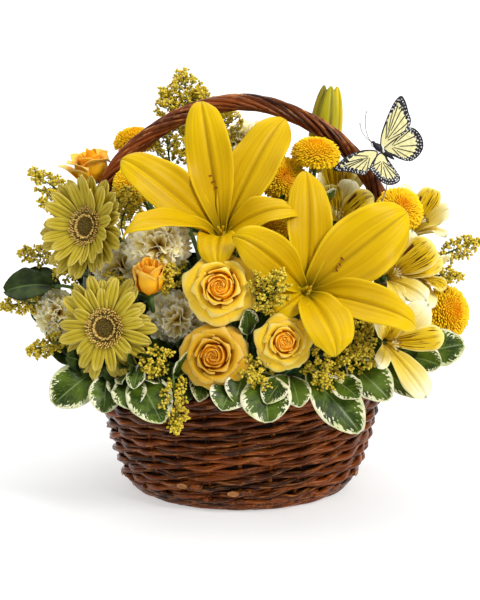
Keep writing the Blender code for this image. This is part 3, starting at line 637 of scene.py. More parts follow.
def rose(name, head, n, radius, seed, look=None):
    bits = Bits()
    local = np.random.default_rng(seed)
    for k, (count, spread, body, rim, top, lip, kind) in enumerate(ROSE_RINGS):
        turn = local.uniform(0, TAU)
        for i in range(count):
            angle = turn + TAU * i / count + local.uniform(-0.10, 0.10)
            tall = top + local.uniform(-0.03, 0.03)
            wide = rim * local.uniform(0.95, 1.05)
            rho = (0.06, body * 0.80, body, body + (wide - body) * 0.35, wide, wide + lip * 0.55, wide
                    + lip * 0.50)
            high = (-0.75, -0.45, -0.10, tall * 0.55 + 0.02, tall, tall - lip * 0.45, tall - lip * 1.1)
            rose_petal(bits, head, n, angle, spread * local.uniform(0.94, 1.06), radius * np.array(rho),
                       radius * np.array(high), seed * 77 + k * 10 + i, kind, radius)
    ring = wheel(n, np.linspace(0, TAU, 24, endpoint=False))
    mound = radius * vec(0.01, 0.10, 0.20, 0.30, 0.40)[:, None]
    crest = radius * vec(0.40, 0.40, 0.37, 0.28, 0.12)[:, None]
    bits.grid(head + ring[:, None] * mound + n * crest, s=0.2, t=0.62, r=0.1, m=0, wrap=True)
    rose_foot(bits, name, head, n, radius, -0.75 * radius, None, look)


def flared(bits, head, n, radius, z0, reflex):
    """Three outer petals turned right back, the longest towards the given bearing."""
    for shift, far in ((0.0, 1.75), (0.9, 1.25), (-1.1, 1.2)):
        e = wheel(n, reflex + shift)
        t = np.linspace(0, 1, 16)
        centre = bezier([head + n * z0, head + e * radius * 0.9 + n * z0 * 0.5,
                         head + e * radius * 0.9 + n * radius * 0.1, head + e * radius * far
                         + n * radius * 0.16], len(t))
        sides, norm = planar_frames(centre, np.cross(n, e))
        width = radius * 0.60 * np.sin(np.pi * np.clip(t * 0.88 + 0.08, 0, 1)) ** 0.8
        bits.grid(ribbon(centre, sides, norm, width, lambda s, t: -radius * 0.15 * s ** 2 * (1 - t), 11),
                r=0.9, m=0)


def rose_foot(bits, name, head, n, radius, z0, target, look=None):
    """Swollen hip, five sepals and the stem under a rose."""
    turn = head + n * (z0 + np.linspace(-radius * 0.22, radius * 0.08, 8))[:, None]
    bits.tube(turn, np.linspace(1.9, radius * 0.20, 8), 12, m=1)
    for k in range(5):
        a = TAU * k / 5
        e = wheel(n, a)
        t = np.linspace(0, 1, 8)
        centre = bezier([head + n * (z0 - 1) + e * 2, head + n * z0 + e * radius * 0.5,
                         head + n * z0 * 0.75 + e * radius * 0.75, head + n * z0 * 0.8
                         + e * radius * 0.95], len(t))
        sides, norm = planar_frames(centre, np.cross(n, e))
        width = radius * 0.11 * (1 - t) ** 0.7 + 0.05
        bits.grid(ribbon(centre, sides, norm, width, lambda s, t: 0.3 * s ** 2, 5), m=1)
    stem(bits, head + n * (z0 - radius * 0.2), n, 1.9, 1, target)
    bits.build(name + "_bloom", [look or ROSE, STEM], [name], "rose", 0.35)


def rose_cup(name, base, n, radius, height, seed, lip, target=None, reflex=None):
    """A half-open rose seen from the side: petals wrapped into a cup, rims turned out."""
    bits = Bits()
    local = np.random.default_rng(seed)
    s = np.linspace(-1, 1, 27)[:, None]
    t = np.linspace(0, 1, 24)[None, :]
    late = smooth((t - 0.70) / 0.30)
    for k in range(12):
        q = k / 11.0
        body = radius * (0.16 + 0.78 * q ** 0.8)
        cup = np.interp(t, [0, 0.08, 0.22, 0.45, 0.80, 1.0], [0.10, 0.50, 0.84, 1.0, 0.94, 0.96]) * body
        top = height * (1.0 - 0.20 * q + local.uniform(-0.05, 0.05))
        tipped = np.exp(-(s / 0.22) ** 2) * late ** 2
        h = top * (t - 0.30 * late * np.abs(s) ** 2.4
                - 0.05 * lip * q * late ** 2) + 0.02 * height * np.sin(4 * s + k) * late
        reach = cup + lip * radius * 0.42 * q * late ** 1.5 * (1 - 0.4 * np.abs(s)) + radius * (0.06 * s
                + 0.12 * lip * q * tipped)
        a = 2.4 * k + seed + s * (1.55 - 0.60 * q) * (0.40 + 0.60 * smooth(t / 0.4))
        e = wheel(n, a)
        bits.grid(base + e * reach[..., None] + n * h[..., None], r=0.34 * q, m=0)
    head = base + n * height * 0.5
    if reflex is not None:
        flared(bits, head, n, radius, -height * 0.5, reflex)
    rose_foot(bits, name, head, n, radius, -height * 0.5, target)


rose("rose_upper", vec(-15, -122, 191), aim(-3, 16), 27.0, 11)
rose("rose_lower", vec(-20, -128, 138), aim(-5, 12), 26.0, 12, look=ROSE_SHADE)
rose("rose_right", vec(34, -133, 150), aim(6, 14), 21.0, 13)
rose_cup("rose_small", vec(-70, -97, 180), aim(-4, 74), 12.0, 31.0, 14, 0.5, vec(-90, -76, 190))
rose_cup("rose_side", vec(-122, 22, 250), aim(-30, 80), 15.5, 29.0, 15, 1.0, None, math.pi)
rose("rose_back", vec(-52, 96, 214), aim(205, 35), 27.0, 16)


# ---------------------------------------------------------------- button poms
def pom_material():
    n = Nodes("pom_floret", 0.55, 0.14)
    n.first(n.ramp(n.t, 0.10, 0.90), (240, 170, 12), (253, 206, 20))
    n.over(n.r, (254, 214, 34), 0.6)
    n.over(n.ramp(n.s, 0.25, 0.0), (242, 168, 10))
    return n.done(soak=0.22, through=(1.0, 0.6, 0.1))


POM = pom_material()
# A short rolled petal: narrow foot, broad cupped tip leaning outwards along x
FLORET = ringed(6, ((0.0, 0.45, 0.0, 0.45), (0.45, 0.75, 0.10, 0.60), (0.80, 1.0, 0.32, 0.55),
                    (1.0, 0.72, 0.55, 0.38), (1.06, 0.16, 0.66, 0.10)), 0.5, 0.12)


def pom(name, head, n, radius, seed):
    bits = Bits()
    local = np.random.default_rng(seed)
    count = 640
    k = np.arange(count) + 0.5
    polar = np.arccos(1 - 1.36 * k / count)[:, None]
    share = polar / polar.max()
    e = wheel(n, k * PHI)
    rad, flat = radius * 0.74, 0.62
    at = head + e * (rad * np.sin(polar)) + n * (rad * flat * np.cos(polar) - radius * 0.05)
    axis = unit(e * np.sin(polar) * 1.05 + n * (np.cos(polar) / flat * 0.9 + 0.12)
            + local.normal(0, 0.11, (count, 3)))
    out = unit(e * np.cos(polar) - n * np.sin(polar))
    out = unit(out - axis * np.einsum("ij,ij->i", out, axis)[:, None])
    w = radius * (0.042 + 0.026 * share) * local.uniform(0.85, 1.15, (count, 1))
    long = radius * (0.16 + 0.10 * share) * local.uniform(0.78, 1.18, (count, 1))
    bits.many(FLORET, out * (w * 0.9), np.cross(axis, out) * w, axis * long, at, share,
            local.uniform(0, 1, count))
    prof_r = rad * vec(0.1, 0.45, 0.8, 0.97, 1.0, 0.97, 0.85, 0.6, 0.3, 0.05)[:, None]
    prof_h = radius * (vec(-0.46, -0.44, -0.36, -0.22, -0.08, 0.08, 0.26, 0.38, 0.42, 0.42) - 0.04)[:, None]
    ring = wheel(n, np.linspace(0, TAU, 20, endpoint=False))
    p = head + ring[:, None] * prof_r + n * prof_h
    bits.grid(p[:, 5:], s=0.5, t=np.linspace(0, 1, 10)[5:] * 0.2, r=0.0, m=0, wrap=True)
    bits.grid(p[:, :6], s=0.5, t=0.2, m=1, wrap=True)
    stem(bits, head - n * radius * 0.48, n, 1.7, 1)
    bits.build(name + "_bloom", [POM, STEM], [name], "pom")


pom("pom_left_back", vec(-87, 36, 283), aim(-25, 86), 19.0, 21)
pom("pom_left", vec(-86, -20, 256), aim(-12, 30), 17.5, 22)
pom("pom_top", vec(61, -27, 282), aim(8, 76), 20.0, 23)
pom("pom_centre", vec(35, -26, 261), aim(4, 34), 19.0, 24)
pom("pom_middle", vec(24, -52, 227), aim(5, 62), 17.0, 25)
pom("pom_right_high", vec(129, -37, 238), aim(22, 42), 19.5, 26)
pom("pom_right_low", vec(170, -29, 151), aim(48, 14), 22.5, 27)


# ---------------------------------------------------------------- carnations
def carnation_material():
    n = Nodes("carnation_petal", 0.55, 0.05)
    # Deep yellow-tan at the petal feet: partly the flower's yellow heart, partly painted shade in the
    # depths.
    n.first(n.ramp(n.t, 0.28, 0.90), (206, 156, 20), (253, 234, 150))
    vein = n.grain((14.0, 1.6, 29.0), 4.0, 0.6)
    n.over(n.ramp(vein, 0.42, 0.7), (232, 204, 96), 0.25)
    # Near-white tips: partly the pale frilled margin, partly painted highlight.
    n.over(n.ramp(n.t, 0.78, 1.0), (255, 249, 224), 0.85)
    return n.done(vein, 0.3, 0.4, 0.45, (1.0, 0.78, 0.36))


CARNATION = carnation_material()


def carnation(name, head, n, radius, seed, target=None):
    """Ruffled, toothed petals in a spiral, the outer ones bent further out."""
    bits = Bits()
    local = np.random.default_rng(seed)
    petals = 23
    s = np.linspace(-1, 1, 37)[:, None]
    t = np.linspace(0, 1, 11)[None, :]
    for i in range(petals):
        q = i / (petals - 1.0)
        e = wheel(n, i * PHI + local.uniform(-0.15, 0.15))
        reach = radius * (0.80 + 0.30 * q) * local.uniform(0.90, 1.06)
        bend = math.radians(8 + 82 * q ** 0.75) * (0.35 + 0.65 * smooth(t / 0.8)) + 0.35 * q * t ** 3
        out, rise = np.sin(bend), np.cos(bend)
        rho, h = (np.cumsum(np.diff(t, axis=1, prepend=0.0) * g, 1) * reach for g in (out, rise))
        wide = reach * (0.64 + 0.10 * (1 - q)) * (0.18 + 0.82 * smooth(t / 0.9)) * s
        ph = local.uniform(0, TAU, 3)
        ruffle = (np.sin(s * 5.0 + ph[0]) * 0.15 + np.sin(s * 12.0 + ph[1]) * 0.05) * reach * t ** 2
        tooth = 0.15 * reach * np.abs(np.sin(s * 11.0 + ph[2])) ** 0.7 * smooth((t - 0.75) / 0.25)
        edge = 1 - 0.22 * np.abs(s) ** 2.5 * smooth((t - 0.3) / 0.7)
        across = rho * edge + tooth * out + ruffle * rise
        up = h * edge + tooth * rise - ruffle * out
        p = head - n * radius * 0.38 + e * across[..., None] + n * up[..., None]
        bits.grid(p + np.cross(n, e) * wide[..., None], r=q, m=0)
    turn = head - n * radius * np.linspace(1.0, 0.30, 10)[:, None]
    bits.tube(turn, radius * vec(0.10, 0.24, 0.27, 0.28, 0.28, 0.29, 0.30, 0.31, 0.33, 0.36), 12, m=1)
    stem(bits, head - n * radius * 0.9, n, 1.7, 1, target)
    bits.build(name + "_bloom", [CARNATION, STEM], [name], "carnation", 0.3)


carnation("carnation_upper", vec(-65, -78, 216), aim(-14, 24), 25.0, 31)
carnation("carnation_left", vec(-97, -40, 191), aim(-25, 25), 23.0, 32, vec(-98, -32, 166))
carnation("carnation_low_left", vec(-151, -36, 151), aim(-50, 12), 22.0, 33)
carnation("carnation_middle", vec(-49, -88, 158), aim(-10, 12), 23.0, 34, vec(-50, -88, 138))
carnation("carnation_top", vec(8, 36, 286), aim(5, 60), 21.0, 35)
carnation("carnation_back", vec(48, 92, 208), aim(160, 38), 25.0, 36)


# ---------------------------------------------------------------- alstroemeria
def alstro_material(name, flecks, colours, pale_from):
    """Colours: foot, body, tip and vein; the inner petals are flecked, the outer tipped green."""
    n = Nodes(name, 0.42, 0.18)
    foot, body, tip, veined = colours
    n.first(n.ramp(n.t, 0.0, 0.40), foot, body)
    n.over(n.ramp(n.t, pale_from, 0.95), tip)
    vein = n.grain((10.0, 1.0, 31.0), 4.0, 0.6)
    n.over(n.ramp(vein, 0.45, 0.7), veined, 0.35)
    n.over(n.ramp(n.side, 0.76, 1.0), (250, 240, 176), 0.5)
    if flecks:
        streak = n.grain((14.0, 3.0, 53.0), 1.0, 0.4)
        zone = n.math("MULTIPLY", n.ramp(n.t, 0.16, 0.30), n.ramp(n.t, 0.86, 0.70))
        zone = n.math("MULTIPLY", zone, n.ramp(n.side, 0.95, 0.70))
        n.over(n.math("MULTIPLY", n.ramp(streak, 0.56, 0.61), zone), (84, 38, 12))
    else:
        green = n.math("MULTIPLY", n.ramp(n.t, 0.86, 0.96), n.ramp(n.side, 0.5, 0.1))
        n.over(green, (96, 116, 60), 0.75)
    return n.done(vein, 0.35, 0.45, 0.22, (1.0, 0.85, 0.4))


ALSTRO = alstro_material("alstroemeria_petal", False,
                         ((190, 156, 16), (236, 208, 74), (250, 244, 210), (232, 208, 116)), 0.36)
ALSTRO_FLECK = alstro_material("alstroemeria_inner_petal", True,
                               ((190, 156, 16), (228, 192, 26), (244, 226, 130), (212, 176, 40)), 0.66)


def alstro(name, head, n, petals, seed, target=None):
    """Six petals given by tip, half width, whether streaked, and twist."""
    bits = Bits()
    radius = 28.0
    for k, (tip, half, streaked, twist) in enumerate(petals):
        lily_petal(bits, head + n * (0.8 if streaked else -0.8), n, vec(*tip), half, 12, 3, seed * 9 + k,
                k / 6.0,
                   twist, 1 if streaked else 0, radius * 0.32, 0.62)
    u, v = basis(n)
    for k in range(5):
        a = 0.5 + TAU * k / 9
        e = -v * math.cos(a) + u * math.sin(a)
        line = bezier([head - n * radius * 0.2, head + n * radius * 0.25, head + n * radius * 0.42
                + e * radius * 0.06,
                       head + n * radius * 0.50 + e * radius * 0.18], 9)
        bits.tube(line, 0.35, 5, r=0.5, m=0)
        bits.tube([line[-1] - e * 0.8, line[-1] + n * 0.4, line[-1] + e * 1.0], 0.6, 6, r=0.5, m=3)
    turn = head - n * radius * np.linspace(0.62, 0.30, 8)[:, None]
    bits.tube(turn, radius * np.array([0.06, 0.10, 0.12, 0.12, 0.11, 0.11, 0.10, 0.09]), 10, m=2)
    stem(bits, head - n * radius * 0.6, n, 1.5, 2, target)
    bits.build(name + "_bloom", [ALSTRO, ALSTRO_FLECK, STEM, ANTHER], [name], "alstroemeria", 0.4)


ANTHER = spotted("anther", (150, 120, 44), (118, 92, 36))
alstro("alstroemeria_upper", vec(120, -62, 188), aim(20, 22), (
    ((153, -72, 216), 13.5, 1, 0.0), ((137, -58, 224), 11.0, 0, 0.0), ((162, -60, 200), 10.0, 1, 0.0),
    ((147, -80, 170), 10.0, 0, 0.0), ((110, -70, 212), 9.0, 0, 0.0), ((124, -86, 168), 8.0, 0, 0.0)), 51)
alstro("alstroemeria_front", vec(117, -92, 140), aim(18, 4), (
    ((102, -114, 168), 8.0, 0, 1.0), ((121, -98, 176), 13.0, 1, 0.0), ((160, -102, 149), 10.5, 1, 0.0),
    ((145, -120, 102), 11.0, 0, 0.0), ((106, -120, 128), 6.5, 0, 0.6), ((149, -84, 170), 13.0, 0, 0.0)), 52)
alstro("alstroemeria_high", vec(143, 4, 214), aim(48, 48), (
    ((157, 0, 248), 11.0, 1, 0.0), ((171, -6, 231), 12.0, 0, 0.0), ((133, 12, 250), 9.0, 0, 0.0),
    ((168, -14, 210), 9.0, 0, 0.0), ((144, 28, 240), 9.0, 1, 0.0), ((126, -8, 224), 8.0, 0, 0.0)), 53)
alstro("alstroemeria_low", vec(145, -44, 186), aim(50, 20), (
    ((163, -58, 204), 10.0, 0, 0.0), ((161, -58, 174), 10.0, 1, 0.0), ((148, -68, 162), 10.0, 0, 0.0),
    ((132, -60, 168), 9.0, 1, 0.0), ((130, -44, 197), 9.0, 0, 0.0), ((152, -30, 209), 9.0, 1, 0.0)), 54)
alstro("alstroemeria_inner", vec(79, -24, 224), aim(-8, 40), (
    ((108, -34, 247), 12.5, 1, 0.0), ((92, -18, 258), 10.0, 0, 0.0), ((108, -40, 226), 10.0, 0, 0.0),
    ((73, -16, 254), 9.0, 1, 0.0), ((58, -24, 238), 9.0, 0, 0.0), ((84, -46, 210), 9.0, 0, 0.0)), 55)
alstro("alstroemeria_shade", vec(81, 16, 234), aim(-20, 62), (
    ((93, 4, 263), 11.0, 1, 0.0), ((76, 6, 268), 10.0, 1, 0.0), ((64, 8, 256), 9.0, 0, 0.0),
    ((106, 12, 258), 10.0, 0, 0.0), ((96, -4, 240), 9.0, 0, 0.0), ((68, 0, 240), 8.0, 0, 0.0)), 56,
    vec(104, 18, 236))


# ---------------------------------------------------------------- solidago
def solidago_material():
    n = Nodes("solidago_floret", 0.6, 0.12)
    n.first(n.ramp(n.t, 0.10, 0.55), (98, 100, 26), (210, 182, 34))
    n.over(n.r, (238, 216, 92), 0.7)
    n.over(n.ramp(n.r, 0.30, 0.0), (150, 140, 30), 0.6)
    return n.done(soak=0.10, through=(1.0, 0.8, 0.2))


SOLIDAGO = solidago_material()
SEED = ringed(5, [(h, r, 0.0, r) for h, r in ((0.0, 0.35), (0.35, 1.0), (0.75, 0.85), (1.0, 0.22))])


def spray(bits, base, tip, width, seed, density=1.0):
    """One flower plume: a main axis, side twigs, and florets crowded along each twig."""
    local = np.random.default_rng(seed)
    base, tip = vec(*base), vec(*tip)
    length = np.linalg.norm(tip - base)
    axis = (tip - base) / length
    main = bezier([base, base + axis * length * 0.35 + vec(0, 0, length * 0.06),
                   base + axis * length * 0.7 + vec(0, 0, length * 0.04), tip], 10)
    bits.tube(main, np.linspace(1.0, 0.4, 10), 5, m=1)
    spots, axes = [], []

    def floret(p, spread, low, high):
        spots.append(p + spread * local.uniform(low, high))
        axes.append(spread)

    twigs = int(max(6, length * 0.42 * density))
    for k in range(twigs):
        f = (k + 0.7) / twigs
        start = base + axis * length * f * 0.96
        e = wheel(axis, k * PHI + local.uniform(-0.4, 0.4))
        reach = width * (0.45 + 0.75 * math.sin(math.pi * min(1.0, 0.18 + 0.80 * f))) * local.uniform(0.7,
                1.1)
        reach = reach * (1.0 - 0.55 * f ** 2)
        end = start + e * reach * 0.85 + axis * reach * 0.65 + vec(0, 0, reach * 0.12)
        line = bezier([start, start + e * reach * 0.4 + axis * reach * 0.1, end - axis * reach * 0.2, end],
                6)
        bits.tube(line, 0.32, 4, m=1)
        count = int(4 + reach * 0.75)
        for j in range(count):
            g = (0.25 + 0.75 * (j + 0.5) / count) * 5
            i = int(g)
            p = line[i] + (line[min(i + 1, 5)] - line[i]) * (g % 1)
            floret(p, unit(local.normal(0, 1, 3) + axis * 0.6 + vec(0, 0, 0.5)), 0.4, 1.6)
        for j in range(7):
            floret(end, unit(local.normal(0, 1, 3) + unit(end - start) * 0.5), 0.3, 2.2)
    for j in range(14):
        spread = unit(local.normal(0, 0.7, 3) + axis)
        spots.append(tip - axis * local.uniform(0, 5) + spread)
        axes.append(spread)
    axes = unit(np.array(axes))
    w = unit(np.cross(axes, vec(0.3, 0.5, 0.2)))
    size = local.uniform(0.75, 1.25, (len(axes), 1))
    bits.many(SEED, w * (0.98 * size), np.cross(axes, w) * (0.98 * size), axes * (2.5 * size),
              np.array(spots), 0.0, local.uniform(0, 1, len(axes)))


def solidago(name, sprays, target=None):
    bits = Bits()
    for k, (base, tip, width, density) in enumerate(sprays):
        spray(bits, base, tip, width, sum(ord(c) for c in name) * 10 + k, density)
        b = vec(*base)
        n = unit(vec(*tip) - b)
        if k == 0:
            stem(bits, b, n, 1.1, 1, target)
            foot = FOCUS + (b - FOCUS) * 0.62
        else:
            bits.twig([foot, foot + (b - foot) * 0.4, b - n * 8, b], 0.7)
    bits.build(name + "_spray", [SOLIDAGO, STEM], [name], "solidago")


solidago("solidago_top", (((-38, 28, 284), (-48, 36, 341), 17, 1.5),
        ((-58, 22, 262), (-62, 18, 300), 17, 1.5),
                          ((-14, 26, 276), (-12, 28, 308), 17, 1.5),
                          ((-46, 30, 288), (-64, 32, 326), 14, 1.5),
                          ((-38, 30, 292), (-32, 34, 326), 13, 1.5),
                          ((-40, 8, 262), (-36, 2, 286), 15, 1.5)))
solidago("solidago_left_high", (((-140, 4, 238), (-171, -2, 262), 11, 1.3),
        ((-142, -8, 232), (-163, -8, 239), 9, 1.2),
                                ((-96, -30, 226), (-88, -42, 250), 15, 1.6)))
solidago("solidago_left_mid", (((-152, -18, 191), (-179, -20, 200), 8, 1.2),
        ((-130, -30, 184), (-146, -44, 190), 12, 1.4),
                               ((-92, -66, 186), (-100, -78, 182), 10, 1.2),
                               ((-60, -78, 178), (-56, -98, 200), 15, 1.6)))
solidago("solidago_left_low", (((-158, -28, 158), (-194, -34, 157), 9, 1.3),
        ((-136, -58, 134), (-170, -62, 125), 10, 1.4)),
         vec(-150, -40, 132))
solidago("solidago_front_hang", (((-52, -124, 122), (-49, -140, 80), 11, 1.3),
        ((-58, -108, 138), (-70, -128, 126), 13, 1.5)))
solidago("solidago_front_mid", (((16, -112, 118), (12, -142, 126), 14, 1.5),
        ((12, -110, 168), (31, -138, 203), 17, 1.5),
                                ((-6, -90, 198), (2, -110, 221), 10, 1.2)))
solidago("solidago_front_right", (((62, -104, 122), (66, -134, 124), 18, 1.7),
        ((92, -92, 124), (92, -122, 140), 16, 1.6),
                                  ((86, -64, 128), (99, -84, 158), 15, 1.5)))
solidago("solidago_right", (((160, -14, 192), (196, -20, 208), 9, 1.3),
        ((146, -30, 180), (178, -44, 184), 10, 1.3)))


# ---------------------------------------------------------------- variegated leaves
def leaf_material():
    """Green with a cream border that runs in along the veins."""
    n = Nodes("pittosporum_leaf", 0.36, 0.18)
    lined = n.new("ShaderNodeCombineXYZ")
    n.put(lined.inputs[0], n.math("SUBTRACT", n.t, n.math("MULTIPLY", n.side, 0.30)))
    n.put(lined.inputs[1], n.math("MULTIPLY", n.r, 40.0))
    n.put(lined.inputs[2], n.math("MULTIPLY", n.s, 0.25))
    streak = n.noise(22.0, 3.0, 0.55, lined.outputs[0])
    n.first(n.ramp(n.noise(60.0, 4.0), 0.35, 0.65), (34, 52, 8), (82, 104, 24))
    n.over(n.ramp(streak, 0.50, 0.66), (108, 128, 46), 0.45)
    n.over(n.ramp(n.side, 0.06, 0.015), (132, 150, 92), 0.6)
    deep = n.math("ADD", 0.55, n.math("MULTIPLY", n.ramp(n.t, 0.35, 0.95), 1.9))
    reach = n.math("ADD", n.side, n.math("MULTIPLY", n.math("SUBTRACT", streak, 0.47), deep))
    reach = n.math("ADD", reach, n.math("MULTIPLY", n.ramp(n.t, 0.70, 1.0), 0.16))
    cream = n.math("MAXIMUM", n.ramp(reach, 0.83, 0.88), n.ramp(n.side, 0.91, 0.95))
    cream = n.math("MAXIMUM", cream, n.ramp(n.t, 0.972, 0.99))
    pale = n.mix(n.ramp(n.noise(120.0, 3.0), 0.4, 0.6), srgb(232, 230, 196), srgb(204, 208, 156))
    n.body = n.mix(cream, n.body, pale)
    return n.done(streak, 0.30, 0.5, 0.06, (0.4, 1.0, 0.2))


def plain_leaf_material():
    n = Nodes("filler_leaf", 0.45, 0.15)
    n.first(n.ramp(n.noise(80.0, 4.0), 0.35, 0.65), (26, 38, 10), (54, 70, 22))
    n.over(n.ramp(n.side, 0.08, 0.02), (96, 120, 62), 0.5)
    return n.done(n.grain((8.0, 9.0, 3.0)), 0.3, 0.4)


LEAF = leaf_material()
FILLER = plain_leaf_material()


def leaf(bits, root, tip, face, half, arch, seed, m=0, curl=0.0, wavy=1.0):
    local = np.random.default_rng(seed)
    root, tip, face = vec(*root), vec(*tip), unit(vec(*face))
    axis = unit(tip - root)
    length = np.linalg.norm(tip - root)
    face = unit(face - axis * (face @ axis))
    side = np.cross(face, axis)
    t = np.linspace(0, 1, 20)
    centre = bezier([root, root + axis * length * 0.33 + face * arch * 1.3,
                     root + axis * length * 0.68 + face * arch * 1.2, tip - face * curl], len(t))
    sides, norm = planar_frames(centre, side)
    if norm[8] @ face < 0:
        norm = -norm
    width = half * np.sin(np.pi * np.clip(t * 0.975 + 0.01, 0, 1) ** 1.18) ** 0.66
    width[0] = 0.6
    ph = local.uniform(0, TAU, 2)

    def lift(s, t):
        w = half
        fold = w * 0.16 * np.abs(s) ** 1.4
        wave = wavy * (0.9 * np.sin(TAU * 2.1 * t + ph[0] + np.sign(s))
                + 0.5 * np.sin(TAU * 4.3 * t + ph[1])) * np.abs(s) ** 2
        return fold - 0.5 * np.exp(-(s / 0.08) ** 2) + wave * np.sin(np.pi * t)

    bits.grid(ribbon(centre, sides, norm, width, lift, 13), r=local.uniform(), m=m)


def sprig(name, base, leaves, look=LEAF):
    """A twig with its leaves; each leaf is (root, tip, face, half width, arch)."""
    bits = Bits()
    base = vec(*base)
    stem(bits, base, unit(vec(*leaves[0][1]) - vec(*leaves[0][0])), 1.2, 1)
    for k, (root, tip, face, half, arch) in enumerate(leaves):
        r = vec(*root)
        n = unit(vec(*leaves[0][1]) - vec(*leaves[0][0]))
        along = unit(vec(*tip) - r)
        bits.twig([base - n * 6, base, r - along * 4, r + along * 2], 0.7)
        leaf(bits, root, tip, face, half, arch, sum(ord(c) for c in name) + k)
    bits.build(name + "_leaves", [look, STEM], [name], "leaf", 0.4)


sprig("sprig_left", (-152, -44, 176), (
    ((-150, -44, 176), (-190, -46, 172), (0.1, -0.75, 0.8), 15.5, 5),
    ((-146, -36, 172), (-176, -24, 182), (0.0, -0.6, 1.0), 12, 3)), FILLER)
sprig("sprig_left_low", (-112, -86, 116), (
    ((-114, -86, 117), (-147, -104, 93), (-0.1, -1.0, 0.45), 18.0, 4),
    ((-106, -94, 114), (-107, -116, 89), (0.15, -1.0, 0.35), 13.5, 3),
    ((-98, -92, 116), (-90, -112, 100), (0.1, -0.9, 0.6), 12.0, 3)))
sprig("sprig_front_left", (-82, -106, 117), (
    ((-82, -106, 118), (-60, -143, 88), (0.1, -1.0, 0.45), 18.0, 4),
    ((-88, -104, 116), (-84, -132, 96), (-0.1, -1.0, 0.5), 14.0, 3),
    ((-52, -116, 118), (-40, -128, 142), (0.6, -0.9, 0.1), 8.0, 3),
    ((-78, -112, 126), (-82, -130, 112), (-0.3, -0.9, 0.4), 8.0, 2)))
sprig("sprig_front_mid", (-6, -124, 112), (
    ((-4, -122, 116), (-14, -146, 99), (0.0, -1.0, 0.5), 15.0, 3),
    ((2, -120, 122), (-4, -140, 104), (0.2, -1.0, 0.5), 12.0, 3),
    ((6, -112, 152), (4, -126, 174), (0.5, -0.9, 0.1), 9.0, 2)))
sprig("sprig_front_centre", (28, -122, 114), (
    ((18, -122, 121), (22, -148, 90), (0.0, -1.0, 0.4), 20.0, 5),
    ((36, -124, 120), (20, -144, 104), (-0.2, -0.9, 0.6), 11.0, 4),
    ((40, -118, 118), (46, -140, 100), (0.1, -1.0, 0.5), 12.0, 3),
    ((56, -112, 140), (50, -128, 160), (0.4, -0.9, 0.1), 8.0, 2)))
sprig("sprig_front_right", (58, -118, 116), (
    ((52, -116, 121), (93, -140, 80), (0.25, -1.0, 0.55), 18.5, 5),
    ((72, -116, 116), (92, -136, 106), (0.3, -1.0, 0.6), 12.0, 3)))
sprig("sprig_right_front", (94, -92, 118), (
    ((84, -98, 126), (117, -116, 100), (0.25, -1.0, 0.6), 16.5, 4),
    ((90, -90, 130), (140, -102, 98), (0.35, -0.9, 0.75), 12.0, 5)))
sprig("sprig_right", (140, -58, 121), (
    ((140, -62, 122), (180, -62, 132), (0.2, -1.0, 0.6), 15.5, 4),
    ((138, -66, 122), (160, -78, 118), (0.2, -1.0, 0.5), 12.0, 3)))
sprig("sprig_back_left", (-88, 88, 134), (
    ((-88, 88, 134), (-122, 128, 112), (-0.4, 0.5, 0.8), 17, 4),
    ((-84, 86, 132), (-42, 124, 124), (-0.1, 0.6, 0.9), 16, 4),
    ((-84, 84, 132), (-130, 66, 130), (-0.5, 0.3, 0.9), 16, 4)))
sprig("sprig_back_right", (84, 90, 134), (
    ((84, 90, 134), (118, 130, 112), (0.4, 0.5, 0.8), 17, 4),
    ((82, 90, 132), (36, 128, 124), (0.1, 0.6, 0.9), 16, 4),
    ((82, 86, 132), (128, 66, 130), (0.5, 0.3, 0.9), 16, 4)))


# Leaves set one by one under and between the flowers of the front: root and tip
DARK_LEAVES = (((78, -50, 120), (100, -70, 158)), ((92, -52, 124), (118, -72, 142)),
               ((66, -60, 128), (82, -78, 160)), ((96, -40, 160), (112, -64, 176)),
               ((84, -30, 176), (100, -56, 196)), ((-52, -30, 150), (-50, -58, 184)),
               ((112, -40, 134), (128, -66, 150)), ((42, -78, 140), (52, -98, 174)),
               ((112, -62, 120), (142, -76, 132)), ((128, -48, 140), (146, -66, 156)),
               ((-70, -40, 196), (-78, -50, 230)), ((-36, -40, 160), (-40, -76, 186)))


